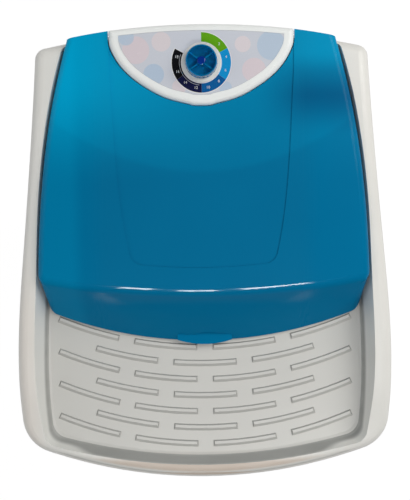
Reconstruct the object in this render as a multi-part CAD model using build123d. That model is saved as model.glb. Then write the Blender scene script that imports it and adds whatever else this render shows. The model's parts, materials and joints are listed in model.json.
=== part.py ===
from build123d import *

import math
import os

os.makedirs("parts", exist_ok=True)

# Semi-automatic washing machine, all sizes in millimetres.
# +Z is up, the front faces -Y, and the origin is on the floor under the middle of the body.

# Body seen from above
BODY_WIDTH = 495.0
BODY_DEPTH = 590.0
HALF = BODY_WIDTH / 2
REAR_Y = BODY_DEPTH / 2
FRONT_Y = -BODY_DEPTH / 2
REAR_TAPER = 33.0
MID_TAPER = 15.0
FRONT_TAPER = 4.5
WIDEST_Y = FRONT_Y + 160.0
REAR_BOW = 24.0
FRONT_BOW = 48.0
REAR_CORNER = 16.0
FRONT_CORNER = 50.0
LEAST_CORNER = 20.0

# Heights of the top frame
SKIRT_Z = 768.0
TRAY_Z = 800.0
RIM_Z = 826.0
RAIL_FRONT_Z = 838.0
RAIL_MID_Z = 850.0
RAIL_REAR_Z = 872.0
BASIN_TOP_Z = 880.0
PLINTH_Z = 850.0
FRAME_WALL = 3.5
RAIL_ROUND = 15.0

# Side wall of the basin in plan. Each row: place along the depth as a share from the rear,
# distance in from the widest half of the body at the tray floor, widening up to the basin's top
SIDE_LINE = [
    (0.038, 74.0, 4.0),
    (0.141, 59.8, 6.4),
    (0.280, 45.8, 8.0),
    (0.419, 39.0, 12.0),
    (0.563, 35.7, 13.6),
    (0.729, 32.5, 14.4),
]
CORNER_MARGIN = 39.5
CORNER_WIDENING = 14.4
BASIN_BOW = 30.0
RIM_WIDTH = 25.0
RIM_DRAFT = 18.5
REAR_WALL = 8.0
BASIN_CORNER = 8.0
BASIN_FLOOR_CORNER = 24.0
# Rounded foot of the basin's walls: height over the floor, and distance in from the wall
BASIN_FOOT = [(0.0, 4.0), (1.2, 1.2), (4.0, 0.0)]

# Washboard bars
BAR_ROWS = 7
BAR_ROW_PITCH = 22.0
BAR_FIRST_Y = 173.0
BAR_ARC = 512.0
BAR_LENGTH = 87.0
BAR_WIDTH = 9.0
BAR_HEIGHT = 2.8
BAR_PITCH = 107.8
BAR_REAR_SLOPE = 1.3
BAR_FRONT_SLOPE = 4.0
BAR_END_SLOPE = 1.8

# Mouth over the tub
MOUTH_INSET = 50.0
MOUTH_REAR_Y = REAR_Y - 111.0
MOUTH_CORNER = 28.0
MOUTH_SETBACK = 20.0

# Lid
LID_WALL = 3.2
LID_GAP = 1.7
NOTCH_GAP = 1.2
LID_DRAFT_SHARE = 0.5
LID_FRONT = 183.0
LID_FRONT_BOW = 43.5
LID_CROWN_RADIUS = 2400.0
LID_REAR_Z = 888.0
LID_PAST_REAR = 15.0
LID_BULGE = 2.0
LID_BEND_Z = 869.0
LID_BEND_Y = FRONT_Y + 250.0
LID_BEND_RADIUS = 1200.0
LID_EDGE_Z = 804.3
LID_EDGE_ROUND = 11.0
LID_EDGE_RADIUS = 560.0
LID_BEND_ROUND = 16.0
LID_BEND_INNER = 8.5
SKIRT_FRONT_Z = 834.0
SKIRT_REAR_Z = 858.0
REAR_CLEARANCE = 4.4
LID_FLANGE = 11.0
RELIEF_DEPTH = 1.3
RELIEF_EDGE = 2.4
RELIEF_REAR_HALF = HALF - 128.5
RELIEF_FRONT_HALF = HALF - 153.5
RELIEF_FRONT_Y = LID_BEND_Y + 31.0
RELIEF_CORNER = 20.0
RECESS_HALF = 37.0
RECESS_DEPTH = 16.5
LIP_OVERHANG = 4.5
LIP_Z = 808.5
LIP_THICKNESS = 2.5

# Control console
CONSOLE_HALF = 116.3
CONSOLE_FRONT_Y = REAR_Y - 101.4
CONSOLE_WIDEST_Y = REAR_Y - 19.0
CONSOLE_FULLNESS = 1.7
CONSOLE_FRONT_Z = 884.5
CONSOLE_TILT = 4.5
CONSOLE_WALL = 3.0
PLINTH_REAR_WALL = 7.0
CONSOLE_ROUND = 7.0
BEZEL_WIDTH = 12.5
BEZEL_REAR = 9.0
OVERLAY_THICKNESS = 0.8
OVERLAY_SINK = 0.1
DIAL_Y = REAR_Y - 49.0

# Lid hinge
HINGE_Y = REAR_Y - 15.0
HINGE_Z = 878.0
PIN_RADIUS = 1.9
PIN_RUNNING = 0.05
KNUCKLE_RADIUS = PIN_RADIUS + 2.6
LUG_RADIUS = PIN_RADIUS + 1.7
LUG_MIDDLE_X = CONSOLE_HALF + 16.9
LUG_WIDTH = 14.0
KNUCKLE_INNER = 7.0
KNUCKLE_OUTER = 11.5
SIDE_GAP = 0.3

# Timer and its knob
KNOB_RADIUS = 20.3
KNOB_BASE = 2.1
KNOB_HEIGHT = 15.0
KNOB_WALL = 1.8
KNOB_HUB = 5.5
KNOB_RIB = 1.8
KNOB_RIB_ANGLE = 36.0
KNOB_FLUTES = 24
COLLAR_OUTER = KNOB_RADIUS + 4.2
COLLAR_INNER = KNOB_RADIUS - 3.3
COLLAR_HEIGHT = 1.6
TIMER_SHAFT_RADIUS = 3.0
TIMER_WIDTH = 58.0
TIMER_LENGTH = 46.0
TIMER_DEPTH = 30.0
TIMER_SCREW_X = 23.0
NECK_RADIUS = TIMER_SHAFT_RADIUS + 2.7
SHAFT_DEPTH = 12.0

# Screws and bolts
SCREW_SHANK = 1.6
SCREW_HOLE = 1.8
SCREW_HEAD = 3.6
BOLT_RADIUS = 2.5
BOLT_HEAD = 5.4
BOLT_PLAY = 0.1
FRAME_SCREW_Z = 779.0
FOOT_SCREW_RADIUS = 3.0
AGITATOR_SCREW = 3.0
SET_SCREW_RADIUS = 1.5
SET_SCREW_Z = 266.0

# Cabinet and base
CABINET_GAP = 0.5
CABINET_WALL = 3.2
CABINET_TOP_Z = 790.0
CABINET_BOTTOM_Z = 70.0
CABINET_TAPER = 22.0
GRIP_Z = 690.0
GRIP_LENGTH = 120.0
GRIP_HEIGHT = 36.0
GRIP_Y = -20.0
COVER_HALF = 82.0
COVER_BOTTOM_Z = 110.0
COVER_TOP_Z = 420.0
COVER_LAP = 8.0
COVER_THICKNESS = 2.5
LOUVRES = 9
LOUVRE_PITCH = 15.0
LOUVRE_HALF = 28.0
GLAND_X = -120.0
GLAND_Z = 160.0
GLAND_HOLE = 10.0
GLAND_BORE = 4.0
BASE_BOTTOM_Z = 18.0
BASE_TOP_Z = 84.0
BASE_WALL = 4.0
BASE_LIP = 4.0
BEAM_HEIGHT = 40.0
FOOT_X = HALF - 82.5
FOOT_REAR_Y = REAR_Y - 105.0
FOOT_FRONT_Y = FRONT_Y + 105.0
FOOT_RADIUS = 22.0
CAPACITOR_PLACE = (-90.0, FOOT_REAR_Y)
CAPACITOR_RADIUS = 13.0
CLIP_EAR = 20.0

# Tub
TUB_INSET = 44.0
TUB_DRAFT = 22.0
TUB_WALL = 3.0
TUB_BOTTOM_Z = 330.0
TUB_FLOOR = 4.0
TUB_ROUND = 18.0
TUB_FLANGE = 3.5
FLANGE_MARGIN = 5.0
WELL_DEPTH = 14.0
SEAL_INSET = 37.5
SEAL_WIDTH = 6.0

# Agitator and its bearing
AGITATOR_RADIUS = 144.0
AGITATOR_FINS = 6
AGITATOR_GAP = 4.0
AGITATOR_HEIGHT = 52.0
CAP_RADIUS = 18.0
WELL_RADIUS = AGITATOR_RADIUS + 6.0
SHAFT_RADIUS = 8.0
SHAFT_RUNNING = 0.05
BUSH_RADIUS = SHAFT_RADIUS + 5.0
BUSH_LENGTH = 16.0
HOUSING_RADIUS = BUSH_RADIUS + 7.0
HOUSING_LENGTH = 52.0
HOUSING_FLANGE = HOUSING_RADIUS + 38.0
HOUSING_BOLT_CIRCLE = HOUSING_FLANGE - 12.0
SEAL_SEAT = 10.0

# Belt drive
PULLEY_Z = 255.0
LARGE_PULLEY_RADIUS = 95.0
SMALL_PULLEY_RADIUS = 24.0
PULLEY_WIDTH = 14.0
GROOVE_DEPTH = 7.0
BELT_WIDTH = 8.0
BELT_THICKNESS = 5.0
BELT_CLEARANCE = 0.5
MOTOR_Y = FRONT_Y + 130.0

# Motor
MOTOR_RADIUS = 60.0
CORE_BOTTOM_Z = 155.0
CORE_TOP_Z = 213.0
BELL_HEIGHT = 24.0
MOTOR_SHAFT_RADIUS = 6.0
ROTOR_RADIUS = 29.0
ROTOR_GAP = 0.6
BRACKET_THICKNESS = 3.0
BRACKET_HALF = 82.0
MOUNT_SQUARE = 46.0
MOUNT_HEIGHT = 7.0
CORE_HALF = 52.0
BRACKET_Z = 240.0
BRACKET_EAR_X0 = BRACKET_HALF + 2.0
BRACKET_EAR_X1 = BRACKET_HALF + 24.0
BRACKET_EAR_Y0 = MOTOR_Y - 32.0
BRACKET_EAR_Y1 = MOTOR_Y + 6.0
PAD_Z = 322.0

# Drain and overflow
DRAIN_X = 118.0
DRAIN_Y = 122.0
DRAIN_Z = 272.0
DRAIN_RADIUS = 17.0
DRAIN_BORE = 14.0
SPIGOT_RADIUS = 16.0
SPIGOT_BORE = 13.0
OVERFLOW_Z = 705.0
OVERFLOW_RADIUS = 9.5
ELBOW_RADIUS = 20.0
SPIGOT_FLANGE_Y = REAR_Y - 18.0
SPIGOT_END_Y = REAR_Y - 0.5
TEE_Y = REAR_Y - 47.0
BOSS_START_Y = REAR_Y - 40.0

# Lint filter
FILTER_Y = 40.0
FILTER_WIDTH = 74.0
FILTER_HEIGHT = 190.0
FILTER_TOP_Z = 775.0
FILTER_FACE_X = HALF - 75.5
FILTER_DEPTH = 12.0

MID_Y = (REAR_Y - REAR_BOW + WIDEST_Y) / 2
LID_FRONT_Y = FRONT_Y + LID_FRONT
LID_FRONT_HALF = HALF - 32.0
CABINET_INSET = FRAME_WALL + CABINET_GAP
FLANGE_Z = CABINET_TOP_Z
TUB_TOP_Z = FLANGE_Z + TUB_FLANGE
WELL_Z = TUB_BOTTOM_Z + TUB_FLOOR - WELL_DEPTH
SHAFT_TOP_Z = WELL_Z + AGITATOR_GAP + AGITATOR_HEIGHT - 14
OVERFLOW_X = DRAIN_X
OVERFLOW_FACE_Y = REAR_Y - 58.5
GRIP_FLOOR_X = HALF - 30.5
GLAND_FACE_Y = REAR_Y - 28.7
TILT = math.radians(CONSOLE_TILT)
WIDE = 2 * BODY_WIDTH
DEEP = 2 * BODY_DEPTH


def save(name, *solids):
    """Writes one node; several solids in it stay separate."""
    shape = solids[0] if len(solids) == 1 else Compound(children=list(solids))
    shape.label = name
    export_step(shape, "parts/" + name + ".step")


def rise(face, height):
    """Extrudes a level face straight up."""
    return extrude(face, height, dir=(0, 0, 1))


def block(x0, x1, y0, y1, z0, z1):
    """A box between two corners."""
    middle = ((x0 + x1) / 2, (y0 + y1) / 2, (z0 + z1) / 2)
    return Pos(*middle) * Box(x1 - x0, y1 - y0, z1 - z0)


def rod(x, y, z0, z1, radius):
    """An upright cylinder."""
    return Pos(x, y, (z0 + z1) / 2) * Cylinder(radius, z1 - z0)


def tube(x, y, z0, z1, radius, bore):
    """An upright tube."""
    return rod(x, y, z0, z1, radius) - rod(x, y, z0 - 1, z1 + 1, bore)


def rod_y(x, z, y0, y1, radius):
    """A cylinder along Y."""
    return Pos(x, (y0 + y1) / 2, z) * Rot(90, 0, 0) * Cylinder(radius, y1 - y0)


def rod_x(y, z, x0, x1, radius):
    """A cylinder along X."""
    return Pos((x0 + x1) / 2, y, z) * Rot(0, 90, 0) * Cylinder(radius, x1 - x0)


def prism_x(points, half_width):
    """A closed profile in the Y-Z plane, extruded to both sides."""
    line = Polyline(*[(0, y, z) for y, z in points], close=True)
    return extrude(make_face(line), half_width, dir=(1, 0, 0), both=True)


def both_sides(solid):
    """The solid and its mirror image on the other side of the machine."""
    return [solid, mirror(solid, about=Plane.YZ)]


def plan_face(side_points, front_y, rear_y, z, front_corner, rear_corner):
    """A face from a right-hand side curve, mirrored, with bowed front and rear edges."""
    points = [(x, y, z) for x, y in side_points]
    right = Spline(*points)
    left = mirror(right, about=Plane.YZ)
    rear_x, rear_side_y = side_points[0]
    front_x, front_side_y = side_points[-1]
    rear = ThreePointArc((-rear_x, rear_side_y, z), (0, rear_y, z), (rear_x, rear_side_y, z))
    front = ThreePointArc((-front_x, front_side_y, z), (0, front_y, z), (front_x, front_side_y, z))
    face = make_face([right, rear, left, front])
    corners = face.vertices().sort_by(Axis.Y)
    face = fillet(corners[:2], front_corner)
    corners = [v for v in face.vertices() if abs(v.Y - rear_side_y) < 0.01 and abs(abs(v.X) - rear_x) < 0.01]
    return fillet(corners, rear_corner)


def body_face(inset, z):
    """Plan outline of the body, drawn in by inset."""
    half = HALF - inset
    side = [
        (half - REAR_TAPER, REAR_Y - REAR_BOW - inset),
        (half - MID_TAPER, MID_Y),
        (half, WIDEST_Y),
        (half - FRONT_TAPER, FRONT_Y + FRONT_BOW + inset),
    ]
    front_corner = max(FRONT_CORNER - inset, LEAST_CORNER)
    rear_corner = max(REAR_CORNER - inset, LEAST_CORNER) if inset > 0 else REAR_CORNER
    return plan_face(side, FRONT_Y + inset, REAR_Y - inset, z, front_corner, rear_corner)


def body_block(inset_bottom, bottom_z, inset_top, top_z):
    """A solid between two plan outlines."""
    return loft([body_face(inset_bottom, bottom_z), body_face(inset_top, top_z)], ruled=True)


def rail_line(drop):
    """Side view of the rails' top edge, from the front rim up to the rear."""
    start = (0, FRONT_Y + 33, RIM_Z - drop)
    points = [
        start,
        (0, FRONT_Y + 106, RAIL_FRONT_Z - drop),
        (0, MID_Y - 57, RAIL_MID_Z - drop),
        (0, REAR_Y - 22, RAIL_REAR_Z - drop),
    ]
    return Spline(*points, tangents=[(0, 1, 0), (0, 1, 0)])


def rail_block(inset, drop):
    """The body under the rails' top line, with a quarter-round outer top edge."""
    curve = rail_line(drop)
    low = SKIRT_Z - drop
    far_front = FRONT_Y - 60
    far_rear = REAR_Y + 60
    front = Line((0, far_front, RIM_Z - drop), curve @ 0)
    rear = Line(curve @ 1, (0, far_rear, (curve @ 1).Z))
    under = [
        (0, far_rear, (curve @ 1).Z),
        (0, far_rear, low),
        (0, far_front, low),
        (0, far_front, RIM_Z - drop),
    ]
    outline = [front, curve, rear, Polyline(*under)]
    side = extrude(make_face(outline), WIDE, dir=(1, 0, 0), both=True)
    plan = rise(body_face(inset, low), BASIN_TOP_Z - low + 20)
    solid = side & plan
    tops = [f for f in solid.faces() if f.normal_at(f.center()).Z > 0.8]
    edges = ShapeList()
    for face in tops:
        for edge in face.edges():
            owners = [t for t in tops if any(edge.is_same(e) for e in t.edges())]
            if len(owners) == 1:
                edges.append(edge)
    return fillet(edges, RAIL_ROUND - inset)


def wall_half(row, z):
    """Half-width between the basin's side walls at one row of the side line, at height z."""
    _, margin, widening = row
    return HALF - margin + widening * (z - TRAY_Z) / (BASIN_TOP_Z - TRAY_Z)


def basin_face(z, grow):
    """Plan outline of the basin between the rails at one height."""
    level = (z - TRAY_Z) / (BASIN_TOP_Z - TRAY_Z)
    front_y = FRONT_Y + RIM_WIDTH - RIM_DRAFT * level - grow
    side = [(wall_half(row, z) + grow, REAR_Y - row[0] * BODY_DEPTH) for row in SIDE_LINE]
    side.append((HALF - CORNER_MARGIN + CORNER_WIDENING * level + grow, front_y + BASIN_BOW))
    side[0] = (side[0][0], side[0][1] + grow)
    corner = BASIN_FLOOR_CORNER + (BASIN_CORNER - BASIN_FLOOR_CORNER) * level
    return plan_face(side, front_y, REAR_Y - REAR_WALL + grow, z, corner, BASIN_CORNER)


def basin_block(grow):
    """The room between the rails, above the tray floor; grow adds the thickness of its walls."""
    high = basin_face(BASIN_TOP_Z, grow)
    foot = [basin_face(TRAY_Z - grow + up, grow - over) for up, over in BASIN_FOOT]
    return loft([*foot, high], ruled=True) + rise(high, 40)


def lid_section(y, row, top, inset):
    """Cross-section of the lid at one depth: an arch, rounded shoulders and drawn-in sides."""
    _, margin, widening = row
    low_half = HALF - margin - LID_GAP - inset
    high_half = low_half + widening * LID_DRAFT_SHARE
    low = TRAY_Z - 20
    fall = LID_CROWN_RADIUS - math.sqrt(LID_CROWN_RADIUS**2 - high_half**2)
    edge = top - inset - fall
    arch = ThreePointArc((-high_half, y, edge), (0, y, top - inset), (high_half, y, edge))
    rest = Polyline((high_half, y, edge), (low_half, y, low), (-low_half, y, low), (-high_half, y, edge))
    face = make_face([arch, rest])
    return fillet(face.vertices().sort_by(Axis.Z)[-2:], max(LID_EDGE_ROUND - inset, 2))


def lid_top_height(y):
    """Height of the lid's ridge line at one depth."""
    slope = (LID_REAR_Z - LID_BEND_Z) / (REAR_Y - LID_BEND_Y)
    bulge = 4 * LID_BULGE * (REAR_Y - y) * (y - LID_BEND_Y) / (REAR_Y - LID_BEND_Y) ** 2
    return LID_BEND_Z + slope * (y - LID_BEND_Y) + max(bulge, -2 * LID_BULGE)


def lid_arch(inset):
    """Loft through the lid's cross-sections, from past its front edge to past its rear edge."""
    faces = []
    rows = [(REAR_Y - row[0] * BODY_DEPTH, row) for row in SIDE_LINE]
    rear_row = (0, SIDE_LINE[0][1] + 9, SIDE_LINE[0][2])
    rows.insert(0, (REAR_Y + LID_PAST_REAR, rear_row))
    for y, row in rows:
        faces.append(lid_section(y, row, lid_top_height(y), inset))
    return loft(faces)


def bowed_front(y, z, radius):
    """Face in front of a bowed line, used to cut the lid's steep front."""
    far = FRONT_Y - 80
    half = HALF + 20
    edge_y = y + radius - math.sqrt(radius**2 - half**2)
    arc = ThreePointArc((-half, edge_y, z), (0, y, z), (half, edge_y, z))
    rest = Polyline((half, edge_y, z), (half, far, z), (-half, far, z), (-half, edge_y, z))
    return make_face([arc, rest])


def lid_front_cut(inset):
    """What lies in front of the lid's steep front face."""
    slope = (LID_BEND_Z - LID_EDGE_Z) / (LID_BEND_Y - LID_FRONT_Y)
    shift = inset * math.sqrt(1 + slope**2) / slope
    low_z = LID_EDGE_Z - 20
    high_z = LID_BEND_Z + 20
    low = bowed_front(LID_FRONT_Y + shift - 20 / slope, low_z, LID_EDGE_RADIUS - 60)
    high = bowed_front(LID_BEND_Y + shift + 20 / slope, high_z, LID_BEND_RADIUS)
    return loft([low, high], ruled=True)


def console_outline(height, inset, rear_inset, lean):
    """D-shaped outline of the console; its rear edge follows the body's bow.

    height gives z for each depth, and lean is the slope of the plane it lies in.
    """
    half = CONSOLE_HALF - inset
    reach = CONSOLE_WIDEST_Y - CONSOLE_FRONT_Y - inset
    points = []
    for turn in (0, 12, 26, 40, 54, 68, 80, 90):
        angle = math.radians(turn)
        x = half * math.cos(angle) ** (2 / CONSOLE_FULLNESS) if turn < 90 else 0
        y = CONSOLE_WIDEST_Y - reach * math.sin(angle) ** (2 / CONSOLE_FULLNESS)
        points.append((x, y, height(y)))
    rear_radius = (HALF - REAR_TAPER) ** 2 / (2 * REAR_BOW) + REAR_BOW / 2
    rear_mid = REAR_Y - SIDE_GAP - rear_inset
    rear_end = rear_mid - (rear_radius - math.sqrt(rear_radius**2 - half**2))
    right_side = Spline(*points, tangents=[(0, -1, -lean), (-1, 0, 0)])
    left_side = mirror(right_side, about=Plane.YZ)
    right_end = (half, rear_end, height(rear_end))
    left_end = (-half, rear_end, height(rear_end))
    rear = ThreePointArc(left_end, (0, rear_mid, height(rear_mid)), right_end)
    left_start = (-points[0][0], points[0][1], points[0][2])
    joins = [Line(points[0], right_end), Line(left_start, left_end)]
    return make_face([right_side, left_side, rear, *joins])


def console_face(z, inset, rear_inset=None):
    """Level outline of the console at one height."""
    return console_outline(lambda y: z, inset, inset if rear_inset is None else rear_inset, 0)


def console_section(drop, inset):
    """Outline of the console in a plane parallel to its top, at a distance under it."""
    return console_outline(lambda y: panel_height(y) - drop, inset, inset, math.tan(TILT))


def console_body():
    """Full block of the console, with a rounded edge round its tilted top."""
    edge = console_section(CONSOLE_ROUND, 0)
    body = loft([console_face(PLINTH_Z, 0), edge], ruled=True)
    steps = [edge]
    for turn in (25, 50, 70, 90):
        angle = math.radians(turn)
        drop = CONSOLE_ROUND * (1 - math.sin(angle))
        steps.append(console_section(drop, CONSOLE_ROUND * (1 - math.cos(angle))))
    return body + loft(steps)


def console_prism(inset, low, high, rear_inset=None):
    """Upright prism of the console's outline."""
    return rise(console_face(low, inset, rear_inset), high - low)


def panel_height(y):
    """Height of the console's top plane at one depth."""
    return CONSOLE_FRONT_Z + (y - CONSOLE_FRONT_Y) * math.tan(TILT)


def panel_slab(top, bottom):
    """Slab between two planes parallel to the console's top plane, measured down from it."""
    y0 = CONSOLE_FRONT_Y - 60
    y1 = REAR_Y + 60
    points = [
        (y0, panel_height(y0) - top),
        (y1, panel_height(y1) - top),
        (y1, panel_height(y1) - bottom),
        (y0, panel_height(y0) - bottom),
    ]
    return prism_x(points, WIDE)


PANEL_NORMAL = (0, -math.sin(TILT), math.cos(TILT))
PANEL = Plane(origin=(0, DIAL_Y, panel_height(DIAL_Y)), x_dir=(1, 0, 0), z_dir=PANEL_NORMAL)


def on_panel(x, low, high, radius):
    """A cylinder square to the console's top plane, at the dial, between two heights above the plane."""
    return PANEL * Pos(x, 0, (low + high) / 2) * Cylinder(radius, high - low)


def bar_face(centre_y, turn, raised, z):
    """A short stretch of a ring: the outline of one washboard bar, at its foot or at its top."""
    half_turn = (BAR_LENGTH / 2 - raised * BAR_END_SLOPE) / BAR_ARC
    rear_radius = BAR_ARC - BAR_WIDTH / 2 + raised * BAR_REAR_SLOPE
    front_radius = BAR_ARC + BAR_WIDTH / 2 - raised * BAR_FRONT_SLOPE
    corners = []
    for radius in (rear_radius, front_radius):
        for angle in (turn - half_turn, turn, turn + half_turn):
            corners.append((radius * math.sin(angle), centre_y - radius * math.cos(angle), z))
    inner = ThreePointArc(*corners[:3])
    outer = ThreePointArc(*corners[3:])
    return make_face([inner, outer, Line(corners[0], corners[3]), Line(corners[2], corners[5])])


def washboard_bars():
    """Rows of raised bars on arcs, four and three to a row, steep at the rear and gentle at the front."""
    bars = []
    for row in range(BAR_ROWS):
        count = 4 if row % 2 == 0 else 3
        centre_y = FRONT_Y + BAR_FIRST_Y - row * BAR_ROW_PITCH + BAR_ARC
        for place in range(count):
            turn = (place - (count - 1) / 2) * BAR_PITCH / BAR_ARC
            low = bar_face(centre_y, turn, 0, TRAY_Z)
            high = bar_face(centre_y, turn, 1, TRAY_Z + BAR_HEIGHT)
            bars.append(loft([low, high], ruled=True))
    return bars


def mouth_cutter():
    """Opening of the tray floor over the tub: it follows the tub's sides and the lid's front edge."""
    plan = rise(body_face(MOUTH_INSET, TRAY_Z - 20), 40)
    front = LID_FRONT_Y + MOUTH_SETBACK
    half = LID_FRONT_HALF
    bow = LID_FRONT_BOW
    z = TRAY_Z - 20
    left_front = (-half, front + bow, z)
    right_front = (half, front + bow, z)
    arc = ThreePointArc(left_front, (0, front, z), right_front)
    rest = Polyline(right_front, (half, MOUTH_REAR_Y, z), (-half, MOUTH_REAR_Y, z), left_front)
    window = rise(make_face([arc, rest]), 40)
    solid = plan & window
    corners = [e for e in solid.edges() if abs(e.center().Z - TRAY_Z) < 1]
    return fillet(corners, MOUTH_CORNER)


def hinge_lug():
    """Barrel of the top frame's hinge, on the rear wall."""
    x0 = LUG_MIDDLE_X - LUG_WIDTH / 2
    x1 = LUG_MIDDLE_X + LUG_WIDTH / 2
    barrel = rod_x(HINGE_Y, HINGE_Z, x0, x1, LUG_RADIUS)
    neck = block(x0, x1, HINGE_Y - LUG_RADIUS + 1.2, HINGE_Y + LUG_RADIUS - 1.2, RAIL_REAR_Z - 22, HINGE_Z)
    bore = rod_x(HINGE_Y, HINGE_Z, x0 - 1, x1 + 1, PIN_RADIUS + PIN_RUNNING)
    return barrel + neck - bore


COLUMN_PLACES = [(CONSOLE_HALF - 24.3, REAR_Y - 33.0), (TIMER_WIDTH / 2 + 23.0, REAR_Y - 71.0)]
FRAME_SCREW_PLACES = [(HALF, WIDEST_Y), (HALF - MID_TAPER, MID_Y)]


def top_frame():
    """White moulding with the side rails, the rim, the washboard tray and the console's plinth."""
    outer = rail_block(0, 0)
    basin = basin_block(0)
    hollow = rail_block(FRAME_WALL, FRAME_WALL) - basin_block(FRAME_WALL)
    hollow -= block(-WIDE, WIDE, REAR_Y - 34, DEEP, TRAY_Z - FRAME_WALL, BASIN_TOP_Z + 60)
    frame = outer - basin - hollow
    plinth = console_prism(0, TRAY_Z - FRAME_WALL, PLINTH_Z)
    plinth -= console_prism(CONSOLE_WALL, TRAY_Z, PLINTH_Z + 1, PLINTH_REAR_WALL)
    frame += plinth
    for x, y in COLUMN_PLACES:
        for boss in both_sides(rod(x, y, TRAY_Z - 1, TRAY_Z + 12, 5.5)):
            frame += boss
    room = console_prism(-SIDE_GAP, PLINTH_Z, BASIN_TOP_Z + 30)
    room_half = CONSOLE_HALF + SIDE_GAP
    room += block(-room_half, room_half, REAR_Y - 20, REAR_Y + 40, PLINTH_Z, BASIN_TOP_Z + 30)
    frame -= room
    frame -= mouth_cutter()
    for lug in both_sides(hinge_lug()):
        frame += lug
    for bar in washboard_bars():
        frame += bar
    for x, y in COLUMN_PLACES:
        for hole in both_sides(rod(x, y, TRAY_Z - 20, TRAY_Z + 20, 2.2)):
            frame -= hole
    for x, y in FRAME_SCREW_PLACES:
        hole = rod_x(y, FRAME_SCREW_Z, x - 12, x + 4, 2.2) + rod_x(y, FRAME_SCREW_Z, x - 2.5, x + 4, 4.6)
        for piece in both_sides(hole):
            frame -= piece
    return frame


def lid_block(inset):
    """The lid as a full block, with a rounded bend above its steep front."""
    solid = lid_arch(inset) - lid_front_cut(inset)
    middle = [e for e in solid.edges() if abs(e.center().X) < 1 and e.center().Y < LID_BEND_Y + 45]
    bend = [e for e in middle if e.center().Z > LID_BEND_Z - 9]
    solid = fillet(bend, LID_BEND_ROUND if inset == 0 else LID_BEND_INNER)
    return solid & rise(body_face(inset, TRAY_Z - 40), 200)


def relief_face(grow, z):
    """U-shaped plan outline of the lid's sunk panel; its rear runs out past the notch."""
    front = RELIEF_FRONT_Y - grow
    rear = REAR_Y + 40
    knee = front + 52
    wide = RELIEF_REAR_HALF + grow
    narrow = RELIEF_FRONT_HALF + grow
    start_y = REAR_Y - 55
    side = [(wide, start_y, z), (wide - 6, start_y - 110, z), (wide - 14, knee + 10, z), (narrow, front + 6, z)]
    right = Spline(*side)
    left = mirror(right, about=Plane.YZ)
    base = ThreePointArc((-narrow, front + 6, z), (0, front, z), (narrow, front + 6, z))
    back = Polyline((wide, start_y, z), (wide, rear, z), (-wide, rear, z), (-wide, start_y, z))
    face = make_face([right, base, left, back])
    return fillet(face.vertices().sort_by(Axis.Y)[:2], RELIEF_CORNER + grow)


def lid_relief():
    """What is taken off the lid's top to sink the U-shaped panel, with a sloping edge."""
    low = relief_face(-RELIEF_EDGE, LID_BEND_Z - 6)
    panel = rise(low, 60)
    return panel - lid_arch(RELIEF_DEPTH)


def bottom_cut():
    """What is under the lid's lower edge: low at the steep front, rising to the rear."""
    rear_wall_y = REAR_Y - SIDE_LINE[0][0] * BODY_DEPTH - LID_GAP
    over_wall = RAIL_REAR_Z + REAR_CLEARANCE
    points = [
        (FRONT_Y, TRAY_Z - 60),
        (FRONT_Y, LID_EDGE_Z),
        (LID_BEND_Y + 5, LID_EDGE_Z),
        (LID_BEND_Y + 35, SKIRT_FRONT_Z),
        (rear_wall_y - 6, SKIRT_REAR_Z),
        (rear_wall_y, over_wall),
        (REAR_Y + 20, over_wall),
        (REAR_Y + 20, TRAY_Z - 60),
    ]
    return prism_x(points, WIDE)


def recess_outline(half, depth, z):
    """D-shaped plan outline of the finger recess, open to the front."""
    rear = LID_FRONT_Y - LIP_OVERHANG + depth
    side_y = rear - depth * 0.55
    shoulder_y = rear - depth * 0.12
    curve = Spline(
        (half, side_y, z),
        (half * 0.72, shoulder_y, z),
        (0, rear, z),
        (-half * 0.72, shoulder_y, z),
        (-half, side_y, z),
        tangents=[(0, 1, 0), (0, -1, 0)],
    )
    front = Polyline((half, side_y, z), (half, FRONT_Y + 20, z), (-half, FRONT_Y + 20, z), (-half, side_y, z))
    return make_face([curve, front])


def lip_plate():
    """Lip under the finger recess; it stands out in front of the lid's edge."""
    z = LIP_Z
    half = RECESS_HALF
    rear = LID_FRONT_Y + RECESS_DEPTH
    left_end = (-half, LID_FRONT_Y + 1.5, z)
    right_end = (half, LID_FRONT_Y + 1.5, z)
    front = ThreePointArc(left_end, (0, LID_FRONT_Y - LIP_OVERHANG, z), right_end)
    rest = Polyline(right_end, (half, rear, z), (-half, rear, z), left_end)
    plate = rise(make_face([front, rest]), LIP_THICKNESS)
    return plate & rise(recess_outline(half + 1, RECESS_DEPTH + 1, z - 1), 20)


def knuckle_spans():
    """Where the lid's hinge knuckles stand on the right-hand side."""
    inner = LUG_MIDDLE_X - LUG_WIDTH / 2 - SIDE_GAP
    outer = LUG_MIDDLE_X + LUG_WIDTH / 2 + SIDE_GAP
    return [(inner - KNUCKLE_INNER, inner), (outer, outer + KNUCKLE_OUTER)]


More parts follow.
